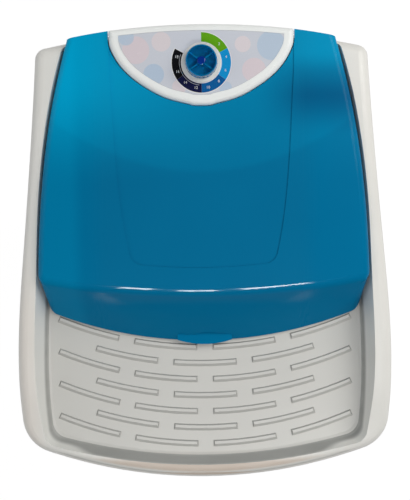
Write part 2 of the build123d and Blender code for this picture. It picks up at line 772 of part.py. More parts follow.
def lid_shell():
    """Blue lid: shell with notch flange, finger recess and hinge knuckles."""
    outer = lid_block(0)
    shell = outer - lid_block(LID_WALL)
    high = LID_REAR_Z + 20
    flange = console_prism(-NOTCH_GAP - LID_WALL, LID_EDGE_Z, high) & outer
    flange -= lid_arch(LID_FLANGE)
    flange -= block(-WIDE, WIDE, REAR_Y - 20, DEEP, 0, high)
    shell += flange
    shell -= lid_relief()
    liner = rise(recess_outline(RECESS_HALF + LID_WALL, RECESS_DEPTH + LID_WALL, LIP_Z), 80) & outer
    shell += liner
    shell -= rise(recess_outline(RECESS_HALF, RECESS_DEPTH, LIP_Z + LIP_THICKNESS), 80)
    shell += lip_plate()
    shell -= bottom_cut()
    shell -= console_prism(-NOTCH_GAP, LID_EDGE_Z - 20, high)
    notch_half = CONSOLE_HALF + NOTCH_GAP
    shell -= block(-notch_half, notch_half, REAR_Y - 18, REAR_Y + 30, LID_EDGE_Z, high)
    room = RECESS_HALF - LID_WALL
    shell -= block(-room, room, FRONT_Y, LID_FRONT_Y + RECESS_DEPTH + 8, LID_EDGE_Z - 5, LIP_Z)
    spans = knuckle_spans()
    gap_top = HINGE_Z + LUG_RADIUS + SIDE_GAP
    lug_gap = block(spans[0][1], spans[1][0], HINGE_Y - 8, DEEP, RAIL_REAR_Z - 10, gap_top)
    for gap in both_sides(lug_gap):
        shell -= gap
    for x0, x1 in spans:
        barrel = rod_x(HINGE_Y, HINGE_Z, x0, x1, KNUCKLE_RADIUS)
        bore = rod_x(HINGE_Y, HINGE_Z, x0 - 1, x1 + 1, PIN_RADIUS)
        for piece in both_sides(barrel):
            shell += piece
        for piece in both_sides(bore):
            shell -= piece
    return shell


def hinge_pins():
    """Steel pins through the knuckles and the lugs."""
    spans = knuckle_spans()
    return both_sides(rod_x(HINGE_Y, HINGE_Z, spans[0][0], spans[1][1], PIN_RADIUS))


def lid_bumpers():
    """Rubber stops under the lid's front wall."""
    x = LID_FRONT_HALF - 65.5
    edge_y = LID_FRONT_Y + LID_EDGE_RADIUS - math.sqrt(LID_EDGE_RADIUS**2 - x**2)
    stop = block(x - 9, x + 9, edge_y + 0.8, edge_y + 3.4, TRAY_Z + SIDE_GAP, LID_EDGE_Z)
    return both_sides(Pos(x, edge_y, 0) * Rot(0, 0, 17) * Pos(-x, -edge_y, 0) * stop)


def console_housing():
    """White console with a rounded bezel and a sunk place for the panel overlay."""
    high = CONSOLE_FRONT_Z + 60
    outer = console_body()
    inner = console_prism(CONSOLE_WALL, PLINTH_Z - 1, high) - panel_slab(-80, CONSOLE_WALL)
    housing = outer - inner
    for x, y in COLUMN_PLACES:
        column = rod(x, y, TRAY_Z + 12, high, 5.5) - panel_slab(-80, CONSOLE_WALL - 0.5)
        column -= rod(x, y, TRAY_Z, TRAY_Z + 34, SCREW_HOLE)
        for piece in both_sides(column):
            housing += piece
    recess = console_prism(BEZEL_WIDTH, PLINTH_Z, high, BEZEL_REAR)
    recess &= panel_slab(-20, OVERLAY_THICKNESS + OVERLAY_SINK)
    housing -= recess
    housing -= on_panel(0, -20, 5, NECK_RADIUS + SIDE_GAP)
    for x in (-TIMER_SCREW_X, TIMER_SCREW_X):
        housing -= on_panel(x, -20, 5, 1.8)
        housing -= on_panel(x, -2.0, 5, 3.4)
    return housing


def panel_overlay():
    """Printed sheet in the console's recess."""
    sheet = console_prism(BEZEL_WIDTH + SIDE_GAP, PLINTH_Z, CONSOLE_FRONT_Z + 60, BEZEL_REAR + SIDE_GAP)
    sheet &= panel_slab(OVERLAY_SINK, OVERLAY_THICKNESS + OVERLAY_SINK)
    return sheet - on_panel(0, -20, 5, NECK_RADIUS + SIDE_GAP)


def dial_collar():
    """White ring on the overlay, round the knob."""
    ring = on_panel(0, -OVERLAY_SINK, COLLAR_HEIGHT - OVERLAY_SINK, COLLAR_OUTER)
    ring -= on_panel(0, -1, COLLAR_HEIGHT + 1, COLLAR_INNER)
    edges = ring.edges().filter_by(GeomType.CIRCLE).sort_by(Axis.Z)[-2:]
    return chamfer(edges, 0.5)


def timer_body():
    """Case of the spring-wound timer under the console's top, with its neck."""
    top = -CONSOLE_WALL
    case = PANEL * Pos(0, 0, top - TIMER_DEPTH / 2) * Box(TIMER_WIDTH, TIMER_LENGTH, TIMER_DEPTH)
    case = fillet([e for e in case.edges() if abs((e @ 1 - e @ 0).Z) > TIMER_DEPTH * 0.9], 5)
    case += on_panel(0, top - 1, -0.4, NECK_RADIUS)
    case -= on_panel(0, -SHAFT_DEPTH - 0.3, 5, TIMER_SHAFT_RADIUS + SHAFT_RUNNING)
    for x in (-TIMER_SCREW_X, TIMER_SCREW_X):
        case -= on_panel(x, top - 8, top + 1, SCREW_HOLE)
    return case


def timer_screws():
    """Two screws that hold the timer, with their heads under the overlay."""
    screws = []
    for x in (-TIMER_SCREW_X, TIMER_SCREW_X):
        screws.append(on_panel(x, -2.0, -1.1, 3.2) + on_panel(x, -9.5, -1.5, 1.5))
    return screws


def shaft_with_flat(low, high):
    """The timer's shaft between two heights over the panel, with a flat for the knob."""
    shaft = on_panel(0, low, high, TIMER_SHAFT_RADIUS)
    flat = PANEL * Pos(TIMER_SHAFT_RADIUS + 3.9, 0, KNOB_BASE + 20) * Box(10, 10, 40)
    return shaft - flat


def timer_shaft():
    """Shaft of the timer, turned by the knob."""
    return shaft_with_flat(-SHAFT_DEPTH, KNOB_BASE + 9)


def timer_knob():
    """See-through blue knob: fluted dish with a hub and four ribs."""
    top = KNOB_BASE + KNOB_HEIGHT
    profile = Polyline(
        (0, KNOB_BASE),
        (KNOB_RADIUS, KNOB_BASE),
        (KNOB_RADIUS, KNOB_BASE + 2),
        (KNOB_RADIUS - 0.8, top - 1.2),
        (KNOB_RADIUS - 1.4, top),
        (KNOB_RADIUS - KNOB_WALL - 0.4, top),
        (KNOB_RADIUS - KNOB_WALL - 0.8, top - 1),
        (KNOB_RADIUS - KNOB_WALL - 0.4, KNOB_BASE + 2.4),
        (0, KNOB_BASE + 2.4),
        close=True,
    )
    dish = revolve(Plane.XZ * make_face(profile), Axis.Z)
    hub = Pos(0, 0, KNOB_BASE + 6) * Cylinder(KNOB_HUB, 12)
    dish += fillet(hub.edges().sort_by(Axis.Z)[-1], 1.5)
    for turn in (-KNOB_RIB_ANGLE, KNOB_RIB_ANGLE):
        rib_length = 2 * (KNOB_RADIUS - KNOB_WALL)
        dish += Rot(0, 0, turn) * Pos(0, 0, KNOB_BASE + 1 + 4.25) * Box(rib_length, KNOB_RIB, 8.5)
    for flute in range(KNOB_FLUTES):
        groove = Pos(KNOB_RADIUS + 0.25, 0, KNOB_BASE + KNOB_HEIGHT / 2 + 1.5) * Cylinder(0.9, KNOB_HEIGHT)
        dish -= Rot(0, 0, 360 / KNOB_FLUTES * (flute + 0.5)) * groove
    return PANEL * dish - shaft_with_flat(-SHAFT_DEPTH, KNOB_BASE + 9)


def console_screws():
    """Screws from under the tray up into the console's columns."""
    under = TRAY_Z - FRAME_WALL
    screws = []
    for x, y in COLUMN_PLACES:
        screw = hex_prism(x, y, under - 3, under, SCREW_HEAD) + rod(x, y, under - 1, TRAY_Z + 30, SCREW_SHANK)
        screws += both_sides(screw)
    return screws


def hex_prism(x, y, z0, z1, radius):
    """Hexagon head or nut, upright."""
    return rise(Pos(x, y, z0) * make_face(RegularPolygon(radius, 6).edges()), z1 - z0)


def grip_pocket(grow):
    """Hand grip in the right-hand side wall; grow adds the thickness of its walls."""
    length = GRIP_LENGTH / 2 + grow
    height = GRIP_HEIGHT / 2 + grow
    low = GRIP_Z - height
    box = block(GRIP_FLOOR_X - grow, HALF + 20, GRIP_Y - length, GRIP_Y + length, low, low + 2 * height)
    edges = box.edges().filter_by(Axis.X)
    return fillet(edges, 10 + grow)


def cabinet_block(inset):
    """Tapered body of the cabinet, drawn in by inset from its outer face."""
    return body_block(
        CABINET_INSET + CABINET_TAPER + inset, CABINET_BOTTOM_Z, CABINET_INSET + inset, CABINET_TOP_Z
    )


def cabinet_inset(z):
    """How far the cabinet's outer face lies inside the body outline at one height."""
    share = (CABINET_TOP_Z - z) / (CABINET_TOP_Z - CABINET_BOTTOM_Z)
    return CABINET_INSET + CABINET_TAPER * share


def cover_screw_places():
    """X and Z of the rear cover's screws."""
    x = COVER_HALF + COVER_LAP / 2
    low = COVER_BOTTOM_Z - COVER_LAP / 2
    high = COVER_TOP_Z + COVER_LAP / 2
    middle = (low + high) / 2
    return [(-x, low), (x, low), (-x, middle), (x, middle), (-x, high), (x, high)]


def rear_wall_y(x, z):
    """Y of the cabinet's outer rear face."""
    inset = cabinet_inset(z)
    chord = HALF - inset - REAR_TAPER
    radius = chord**2 / (2 * REAR_BOW) + REAR_BOW / 2
    return REAR_Y - inset - (radius - math.sqrt(radius**2 - x**2))


def cabinet_shell():
    """White cabinet, open above and below, with hand grips and a service opening in its rear."""
    outer = cabinet_block(0)
    inner = cabinet_block(CABINET_WALL)
    shell = outer - inner
    for liner in both_sides(grip_pocket(CABINET_WALL)):
        shell += liner & outer
    for pocket in both_sides(grip_pocket(0)):
        shell -= pocket
    opening = block(-COVER_HALF, COVER_HALF, REAR_Y - 80, DEEP, COVER_BOTTOM_Z, COVER_TOP_Z)
    shell -= fillet(opening.edges().filter_by(Axis.Y), 8)
    boss = rod_y(DRAIN_X, DRAIN_Z, BOSS_START_Y, SPIGOT_FLANGE_Y - SIDE_GAP, 24)
    shell += boss - inner
    shell -= rod_y(DRAIN_X, DRAIN_Z, BOSS_START_Y - 30, REAR_Y, SPIGOT_RADIUS + SIDE_GAP)
    gland = rod_y(GLAND_X, GLAND_Z, BOSS_START_Y, GLAND_FACE_Y, 17)
    shell += gland - inner
    shell -= rod_y(GLAND_X, GLAND_Z, BOSS_START_Y - 30, REAR_Y, GLAND_HOLE)
    for x, z in cover_screw_places():
        shell -= rod_y(x, z, REAR_Y - 80, REAR_Y, SCREW_HOLE)
    low = FRAME_SCREW_Z - SCREW_HOLE
    for x, y in FRAME_SCREW_PLACES:
        slot = block(x - 25, x, y - SCREW_HOLE, y + SCREW_HOLE, low, low + 2 * SCREW_HOLE)
        for hole in both_sides(slot):
            shell -= hole
    return shell


def rear_cover():
    """Service cover over the opening in the rear wall, with louvres in its upper part."""
    plate = cabinet_block(-COVER_THICKNESS - SIDE_GAP) - cabinet_block(-SIDE_GAP)
    half = COVER_HALF + COVER_LAP
    window = block(-half, half, 0, DEEP, COVER_BOTTOM_Z - COVER_LAP, COVER_TOP_Z + COVER_LAP)
    plate &= fillet(window.edges().filter_by(Axis.Y), 10)
    for row in range(LOUVRES):
        z = COVER_TOP_Z - 36 - row * LOUVRE_PITCH
        y = rear_wall_y(0, z)
        for x in (-LOUVRE_HALF - 6, LOUVRE_HALF + 6):
            plate -= block(x - LOUVRE_HALF, x + LOUVRE_HALF, y - 30, y + 30, z - 2, z + 2)
    for row in range(LOUVRES):
        z = COVER_TOP_Z - 36 - row * LOUVRE_PITCH
        for x in (-LOUVRE_HALF - 6, LOUVRE_HALF + 6):
            y = rear_wall_y(abs(x), z) + COVER_THICKNESS
            hood = [(y - 1.0, z + 3.6), (y + 3.2, z - 0.6), (y + 3.2, z - 1.8), (y - 1.0, z + 2.2)]
            blade = prism_x(hood, LOUVRE_HALF)
            turn = -math.degrees(math.atan2(rear_wall_y(abs(x) + 5, z) - rear_wall_y(abs(x) - 5, z), 10))
            turn = turn if x > 0 else -turn
            plate += Pos(x, y, 0) * Rot(0, 0, -turn) * Pos(0, -y, 0) * blade
    for x, z in cover_screw_places():
        plate -= rod_y(x, z, REAR_Y - 80, REAR_Y, 2.2)
    return plate


def rear_cover_screws():
    """Screws of the rear cover."""
    screws = []
    for x, z in cover_screw_places():
        face = rear_wall_y(abs(x), z) + SIDE_GAP + COVER_THICKNESS + 0.6
        head = extrude(Plane.XZ.offset(-face) * Pos(x, z) * RegularPolygon(3.8, 6), -2.4)
        screws.append(head + rod_y(x, z, face - 12, face + 1, SCREW_SHANK))
    return screws


def cord_grommet():
    """Rubber gland of the power cord in the rear wall."""
    body = rod_y(GLAND_X, GLAND_Z, GLAND_FACE_Y - 14, GLAND_FACE_Y + 2, GLAND_HOLE - 0.3)
    body += rod_y(GLAND_X, GLAND_Z, GLAND_FACE_Y + SIDE_GAP, GLAND_FACE_Y + 3.3, GLAND_HOLE + 3)
    return body - rod_y(GLAND_X, GLAND_Z, GLAND_FACE_Y - 20, REAR_Y + 10, GLAND_BORE)


def frame_screws():
    """Countersunk screws through the skirt of the top frame into the cabinet."""
    screws = []
    for x, y in FRAME_SCREW_PLACES:
        head = rod_x(y, FRAME_SCREW_Z, x - 2.2, x - 0.8, 4.2)
        screws += both_sides(head + rod_x(y, FRAME_SCREW_Z, x - 13, x - 2, SCREW_SHANK))
    return screws


def base_outline(inset):
    """Straight block of the base, just under the cabinet."""
    face = body_face(CABINET_INSET + CABINET_TAPER + inset, BASE_BOTTOM_Z)
    return rise(face, BASE_TOP_Z - BASE_BOTTOM_Z)


def foot_places():
    """X and Y of the four feet."""
    return [(FOOT_X, FOOT_REAR_Y), (-FOOT_X, FOOT_REAR_Y), (FOOT_X, FOOT_FRONT_Y), (-FOOT_X, FOOT_FRONT_Y)]


def base_frame():
    """Base under the cabinet: a ring with a lip inside the cabinet, cross beams and foot bosses."""
    lip_inset = CABINET_WALL + CABINET_GAP
    ledge = CABINET_BOTTOM_Z
    below = block(-WIDE, WIDE, -DEEP, DEEP, 0, ledge)
    core = base_outline(lip_inset + BASE_LIP)
    ring = (base_outline(0) & below) - base_outline(BASE_WALL)
    lip = base_outline(lip_inset) - core - block(-WIDE, WIDE, -DEEP, DEEP, 0, ledge - BASE_WALL)
    base = ring + lip
    room = base_outline(BASE_WALL - 1)
    for y in (FOOT_REAR_Y, FOOT_FRONT_Y):
        beam = block(-WIDE, WIDE, y - 15, y + 15, BASE_BOTTOM_Z + 4, BASE_BOTTOM_Z + BEAM_HEIGHT)
        beam -= block(-FOOT_X, FOOT_X, y - 12, y + 12, 0, BASE_BOTTOM_Z + BEAM_HEIGHT - 3)
        base += beam & room
    for x, y in foot_places():
        base += rod(x, y, BASE_BOTTOM_Z, BASE_BOTTOM_Z + BEAM_HEIGHT, FOOT_RADIUS) & room
    for x, y in foot_places():
        base -= rod(x, y, 0, BASE_BOTTOM_Z + 24, FOOT_SCREW_RADIUS + 0.2)
    x, y = CAPACITOR_PLACE
    base -= rod(x + CLIP_EAR, y, 0, BASE_TOP_Z, SCREW_HOLE)
    return base


def feet():
    """Rubber feet with a pocket for the screw's head."""
    pieces = []
    for x, y in foot_places():
        foot = Pos(x, y, BASE_BOTTOM_Z / 2) * Cone(FOOT_RADIUS + 2, FOOT_RADIUS - 2, BASE_BOTTOM_Z)
        foot -= rod(x, y, -1, 8, 10)
        foot -= rod(x, y, 0, BASE_BOTTOM_Z + 1, FOOT_SCREW_RADIUS + 0.2)
        pieces.append(foot)
    return pieces


def foot_screws():
    """Hexagon screws that hold the feet."""
    pieces = []
    for x, y in foot_places():
        pieces.append(hex_prism(x, y, 4, 8, 6.5) + rod(x, y, 7, BASE_BOTTOM_Z + 22, FOOT_SCREW_RADIUS))
    return pieces


def tub_block(extra, bottom_z):
    """Tapered block of the tub with its lower edge rounded."""
    solid = body_block(TUB_INSET + TUB_DRAFT + extra, TUB_BOTTOM_Z, TUB_INSET + extra, TUB_TOP_Z)
    solid &= block(-WIDE, WIDE, -DEEP, DEEP, bottom_z, TUB_TOP_Z)
    low = [e for e in solid.edges() if e.center().Z < bottom_z + 1]
    return fillet(low, TUB_ROUND - extra)


def tub():
    """White tub with the round well of the agitator in its floor, hung by its flange."""
    shell = tub_block(0, TUB_BOTTOM_Z)
    shell += rise(body_face(FLANGE_MARGIN, FLANGE_Z), TUB_FLANGE)
    floor_z = TUB_BOTTOM_Z + TUB_FLOOR
    well_z = floor_z - WELL_DEPTH
    shell += rod(0, 0, well_z - TUB_FLOOR, TUB_BOTTOM_Z + 1, WELL_RADIUS + TUB_WALL)
    shell += rod(DRAIN_X, DRAIN_Y, TUB_BOTTOM_Z - 30, TUB_BOTTOM_Z + 2, DRAIN_RADIUS)
    pad = block(BRACKET_EAR_X0, BRACKET_EAR_X1, BRACKET_EAR_Y0, BRACKET_EAR_Y1, PAD_Z, TUB_BOTTOM_Z + 2)
    for piece in both_sides(pad):
        shell += piece
    shell += rod_y(OVERFLOW_X, OVERFLOW_Z, OVERFLOW_FACE_Y - 12, OVERFLOW_FACE_Y + 1.5, OVERFLOW_RADIUS + 3)
    shell -= tub_block(TUB_WALL, floor_z)
    shell -= rod(0, 0, well_z, floor_z + 1, WELL_RADIUS)
    shell -= rod(0, 0, well_z - 10, floor_z, HOUSING_RADIUS + SIDE_GAP)
    shell -= rod(DRAIN_X, DRAIN_Y, TUB_BOTTOM_Z - 40, floor_z + 1, DRAIN_BORE)
    shell -= rod_y(OVERFLOW_X, OVERFLOW_Z, OVERFLOW_FACE_Y - 30, OVERFLOW_FACE_Y, OVERFLOW_RADIUS - 3)
    shell -= rod_y(OVERFLOW_X, OVERFLOW_Z, OVERFLOW_FACE_Y, OVERFLOW_FACE_Y + 20, OVERFLOW_RADIUS + SIDE_GAP)
    for x, y in bracket_bolt_places():
        shell -= rod(x, y, PAD_Z - 1, PAD_Z + 11, BOLT_RADIUS + BOLT_PLAY)
    for x, y in housing_bolt_places():
        shell -= rod(x, y, well_z - 10, well_z + 1, BOLT_RADIUS + SIDE_GAP)
    return shell


def tub_seal():
    """Foam ring between the tub's flange and the tray floor."""
    height = TRAY_Z - FRAME_WALL - TUB_TOP_Z
    ring = rise(body_face(SEAL_INSET, TUB_TOP_Z), height)
    return ring - rise(body_face(SEAL_INSET + SEAL_WIDTH, TUB_TOP_Z - 1), height + 2)


def bearing_housing():
    """Housing under the tub with bores for the two bushes and the seal."""
    plate_z = WELL_Z - TUB_FLOOR - SIDE_GAP
    low = WELL_Z - SIDE_GAP - HOUSING_LENGTH
    body = rod(0, 0, plate_z - 6, plate_z, HOUSING_FLANGE)
    body += rod(0, 0, low, WELL_Z - SIDE_GAP, HOUSING_RADIUS)
    corners = [
        (HOUSING_RADIUS - 2, low + 6),
        (HOUSING_RADIUS - 2, plate_z - 2),
        (HOUSING_FLANGE - 4, plate_z - 5),
    ]
    web = prism_x(corners, 2)
    for angle in range(0, 360, 60):
        body += Rot(0, 0, angle) * web
    body -= rod(0, 0, low - 1, WELL_Z + 1, SHAFT_RADIUS + 2)
    body -= rod(0, 0, low - 1, low + BUSH_LENGTH, BUSH_RADIUS)
    body -= rod(0, 0, WELL_Z - SEAL_SEAT - BUSH_LENGTH, WELL_Z + 1, BUSH_RADIUS)
    for x, y in housing_bolt_places():
        body -= rod(x, y, plate_z - 10, plate_z + 1, BOLT_RADIUS + SIDE_GAP)
    return body


def housing_bolt_places():
    """X and Y of the bearing housing's bolts."""
    places = []
    for angle in (45, 135, 225, 315):
        turn = math.radians(angle)
        places.append((HOUSING_BOLT_CIRCLE * math.cos(turn), HOUSING_BOLT_CIRCLE * math.sin(turn)))
    return places


def shaft_bushes():
    """Two plain bushes in the bearing housing."""
    low = WELL_Z - SIDE_GAP - HOUSING_LENGTH
    high = WELL_Z - SEAL_SEAT
    bore = SHAFT_RADIUS + SHAFT_RUNNING
    lower = tube(0, 0, low, low + BUSH_LENGTH, BUSH_RADIUS, bore)
    return [lower, tube(0, 0, high - BUSH_LENGTH, high, BUSH_RADIUS, bore)]


def shaft_seal():
    """Rubber lip seal on top of the upper bush."""
    low = WELL_Z - SEAL_SEAT + SIDE_GAP
    return tube(0, 0, low, WELL_Z - SIDE_GAP, BUSH_RADIUS, SHAFT_RADIUS + SHAFT_RUNNING)


def housing_bolts():
    """Bolts from inside the tub through the bearing housing, with nuts' ends below."""
    low = WELL_Z - TUB_FLOOR - SIDE_GAP - 6
    bolts = []
    for x, y in housing_bolt_places():
        bolt = hex_prism(x, y, WELL_Z, WELL_Z + 2.6, 5) + rod(x, y, low - 8, WELL_Z + 1, BOLT_RADIUS)
        bolts.append(bolt + hex_prism(x, y, low - 4, low, 5))
    return bolts


def agitator():
    """Wide pulsator: a thin shell with a hub and curved fins."""
    base = WELL_Z + AGITATOR_GAP
    r = AGITATOR_RADIUS
    top = base + AGITATOR_HEIGHT
    line = Spline(
        (r, base + 5),
        (r - 36, base + 9),
        (r * 0.42, base + 20),
        (r * 0.2, top - 8),
        (24, top),
        tangents=[(-1, 0.05), (-0.25, 1)],
    )
    outline = [line, Polyline((24, top), (0, top), (0, base), (r - 1, base), (r, base + 1), (r, base + 5))]
    body = revolve(Plane.XZ * make_face(outline), Axis.Z)
    rim = (r - 4, base + 1.5)
    crown = (r * 0.2 - 3, top - 14)
    under = Spline(rim, (r - 38, base + 5.5), (r * 0.42, base + 16), crown)
    hollow = [under, Polyline(crown, (17, top - 14), (17, base - 1), (r - 4, base - 1), rim)]
    cavity = revolve(Plane.XZ * make_face(hollow), Axis.Z)
    fin_tip = (r - 7, base + 7)
    fin_line = Spline((20, top + 2), (r * 0.45, base + 38), (r * 0.75, base + 29), fin_tip)
    fin_rest = Polyline(fin_tip, (r - 7, base + 2), (20, base + 2), (20, top + 2))
    fin = extrude(Plane.XZ * make_face([fin_line, fin_rest]), 4.5, both=True)
    fin = chamfer([e for e in fin.edges() if e.geom_type == GeomType.BSPLINE], 2.2)
    for index in range(AGITATOR_FINS):
        body += Rot(0, 0, 360 / AGITATOR_FINS * index) * fin
    body -= cavity
    body -= rod(0, 0, top - 10, top + 20, CAP_RADIUS + SIDE_GAP)
    body -= rod(0, 0, base - 1, SHAFT_TOP_Z, SHAFT_RADIUS)
    body -= rod(0, 0, base, top, AGITATOR_SCREW + 0.3)
    return body


def agitator_cap():
    """Cap over the agitator's screw."""
    top = WELL_Z + AGITATOR_GAP + AGITATOR_HEIGHT
    cap = rod(0, 0, top - 10 + SIDE_GAP, top + 5, CAP_RADIUS)
    cap = fillet(cap.edges().sort_by(Axis.Z)[-1], 4)
    return cap - rod(0, 0, top - 12, top - 1, CAP_RADIUS - 2.5)


def agitator_screw():
    """Screw that holds the agitator on its shaft."""
    top = WELL_Z + AGITATOR_GAP + AGITATOR_HEIGHT
    return hex_prism(0, 0, top - 10, top - 5.5, 6) + rod(0, 0, SHAFT_TOP_Z - 16, top - 9, AGITATOR_SCREW)


def agitator_shaft():
    """Steel shaft from the large pulley up into the agitator."""
    low = PULLEY_Z - PULLEY_WIDTH / 2
    shaft = rod(0, 0, low - 3.7, SHAFT_TOP_Z, SHAFT_RADIUS) + rod(0, 0, low - 18, low, SHAFT_RADIUS - 2)
    return shaft - rod(0, 0, SHAFT_TOP_Z - 17, SHAFT_TOP_Z + 1, AGITATOR_SCREW + 0.1)


def pulley_rim(radius, web_radius):
    """Profile of a pulley with a V groove, revolved about Z at the origin."""
    half = PULLEY_WIDTH / 2
    bottom = radius - GROOVE_DEPTH
    points = [
        (web_radius, PULLEY_Z - half),
        (radius, PULLEY_Z - half),
        (radius, PULLEY_Z - half + 1),
        (bottom, PULLEY_Z - BELT_WIDTH / 2 - BELT_CLEARANCE),
        (bottom, PULLEY_Z + BELT_WIDTH / 2 + BELT_CLEARANCE),
        (radius, PULLEY_Z + half - 1),
        (radius, PULLEY_Z + half),
        (web_radius, PULLEY_Z + half),
    ]
    return revolve(Plane.XZ * make_face(Polyline(*points, close=True)), Axis.Z)


def large_pulley():
    """Pulley of the agitator's shaft, with a thin web and lightening holes."""
    half = PULLEY_WIDTH / 2
    wheel = pulley_rim(LARGE_PULLEY_RADIUS, LARGE_PULLEY_RADIUS - GROOVE_DEPTH - 4)
    wheel += rod(0, 0, PULLEY_Z - 2, PULLEY_Z + 2, LARGE_PULLEY_RADIUS - GROOVE_DEPTH - 2)
    wheel += rod(0, 0, PULLEY_Z - half - 3, PULLEY_Z + half, 18)
    for index in range(6):
        wheel -= Rot(0, 0, 60 * index) * rod(52, 0, PULLEY_Z - 20, PULLEY_Z + 20, 15)
    return wheel - rod(0, 0, PULLEY_Z - 30, PULLEY_Z + 30, SHAFT_RADIUS)


def pulley_nut():
    """Nut under the large pulley."""
    low = PULLEY_Z - PULLEY_WIDTH / 2
    return hex_prism(0, 0, low - 11, low - 3.7, 11) - rod(0, 0, 0, PULLEY_Z, SHAFT_RADIUS - 2 + 0.1)


def loop_face(radius_large, radius_small, z):
    """Outline of a belt's path round both pulleys."""
    distance = -MOTOR_Y
    angle = math.acos((radius_large - radius_small) / distance)
    across = math.sin(angle)
    along = -math.cos(angle)
    large = (radius_large * across, radius_large * along, z)
    small = (radius_small * across, MOTOR_Y + radius_small * along, z)
    right = Line(large, small)
    left = mirror(right, about=Plane.YZ)
    top = ThreePointArc((-large[0], large[1], z), (0, radius_large, z), large)
    bottom = ThreePointArc((-small[0], small[1], z), (0, MOTOR_Y - radius_small, z), small)
    return make_face([right, bottom, left, top])


def belt_radius(pulley_radius, share):
    """Radius of a line in the belt; share is 0 at its inner face and 1 at its outer face."""
    return pulley_radius - GROOVE_DEPTH + BELT_CLEARANCE + BELT_THICKNESS * share


def drive_belt():
    """Belt round the two pulleys."""
    low = PULLEY_Z - BELT_WIDTH / 2
    rings = []
    for share in (0, 1):
        large = belt_radius(LARGE_PULLEY_RADIUS, share)
        small = belt_radius(SMALL_PULLEY_RADIUS, share)
        rings.append(rise(loop_face(large, small, low), BELT_WIDTH))
    return rings[1] - rings[0]


def motor_pulley():
    """Small pulley on the motor's shaft."""
    wheel = pulley_rim(SMALL_PULLEY_RADIUS, 0.5) + rod(0, 0, PULLEY_Z, PULLEY_Z + PULLEY_WIDTH / 2 + 8, 11)
    wheel -= rod(0, 0, 0, PULLEY_Z + 50, MOTOR_SHAFT_RADIUS)
    wheel -= rod_x(0, SET_SCREW_Z, 0, 20, SET_SCREW_RADIUS)
    return Pos(0, MOTOR_Y, 0) * wheel


def pulley_set_screw():
    """Set screw of the small pulley."""
    return rod_x(MOTOR_Y, SET_SCREW_Z, MOTOR_SHAFT_RADIUS, 11.6, SET_SCREW_RADIUS - 0.1)


def motor_shaft():
    """Shaft of the motor."""
    low = CORE_BOTTOM_Z - BELL_HEIGHT - 5
    return rod(0, MOTOR_Y, low, PULLEY_Z + PULLEY_WIDTH / 2 + 6, MOTOR_SHAFT_RADIUS)


def motor_rotor():
    """Rotor of the motor, with short cooling blades on its end rings."""
    body = rod(0, MOTOR_Y, CORE_BOTTOM_Z + 2, CORE_TOP_Z - 2, ROTOR_RADIUS)
    for index in range(8):
        blade = block(17, 26, -1.2, 1.2, CORE_BOTTOM_Z - 7, CORE_TOP_Z + 7)
        body += Pos(0, MOTOR_Y, 0) * Rot(0, 0, 45 * index) * blade
    return body - rod(0, MOTOR_Y, 0, PULLEY_Z, MOTOR_SHAFT_RADIUS)


def mount_places():
    """X and Y of the motor's rubber mounts."""
    s = MOUNT_SQUARE
    return [(s, MOTOR_Y + s), (-s, MOTOR_Y + s), (s, MOTOR_Y - s), (-s, MOTOR_Y - s)]


def motor_core():
    """Laminated stator stack with four flats."""
    core = rod(0, MOTOR_Y, CORE_BOTTOM_Z, CORE_TOP_Z, MOTOR_RADIUS)
    core &= block(-CORE_HALF, CORE_HALF, MOTOR_Y - CORE_HALF, MOTOR_Y + CORE_HALF, 0, PULLEY_Z)
    core -= rod(0, MOTOR_Y, 0, PULLEY_Z, ROTOR_RADIUS + ROTOR_GAP)
    for x, y in through_bolt_places():
        core -= rod(x, y, 0, PULLEY_Z, BOLT_RADIUS + BOLT_PLAY)
    return core


def through_bolt_places():
    """X and Y of the bolts through the motor."""
    s = CORE_HALF - 16
    return [(s, MOTOR_Y + s), (-s, MOTOR_Y + s), (s, MOTOR_Y - s), (-s, MOTOR_Y - s)]


def end_bell(face_z, end_z):
    """Cup at one end of the motor, from the core's face to its closed end."""
    up = 1 if end_z > face_z else -1
    low, high = sorted((face_z, end_z))
    outer = rod(0, MOTOR_Y, low, high, MOTOR_RADIUS - 3)
    outer = fillet(outer.edges().filter_by(GeomType.CIRCLE).sort_by(Axis.Z)[-1 if up > 0 else 0], 7)
    z0, z1 = sorted((face_z - up, end_z - 3 * up))
    cup = outer - rod(0, MOTOR_Y, z0, z1, MOTOR_RADIUS - 17)
    z0, z1 = sorted((end_z - 13 * up, end_z))
    cup += rod(0, MOTOR_Y, z0, z1, 13)
    for index in range(6):
        vent = block(20, 38, -4, 4, min(end_z - 5, end_z + 5), max(end_z - 5, end_z + 5))
        cup -= Pos(0, MOTOR_Y, 0) * Rot(0, 0, 60 * index + 30) * vent
    return cup


def motor_bells():
    """End bells of the motor; the upper one has ears for the rubber mounts."""
    lower = end_bell(CORE_BOTTOM_Z, CORE_BOTTOM_Z - BELL_HEIGHT)
    upper = end_bell(CORE_TOP_Z, CORE_TOP_Z + BELL_HEIGHT)
    ear_top = BRACKET_Z - MOUNT_HEIGHT
    for x, y in mount_places():
        ear = rod(x, y, ear_top - 5, ear_top, 9)
        turn = 45 if x * (y - MOTOR_Y) > 0 else -45
        arm = Pos(x / 2, (y + MOTOR_Y) / 2, ear_top - 2.5) * Rot(0, 0, turn) * Box(64, 16, 5)
        upper += (ear + arm) - rod(0, MOTOR_Y, 0, PULLEY_Z, MOTOR_RADIUS - 10)
    bells = []
    for bell in (lower, upper):
        bell -= rod(0, MOTOR_Y, 0, PULLEY_Z, MOTOR_SHAFT_RADIUS + SHAFT_RUNNING)
        for x, y in through_bolt_places():
            bell -= rod(x, y, 0, PULLEY_Z, BOLT_RADIUS + BOLT_PLAY)
        for x, y in mount_places():
            bell -= rod(x, y, ear_top - 8, ear_top + 1, BOLT_RADIUS + BOLT_PLAY)
        bells.append(bell)
    return bells


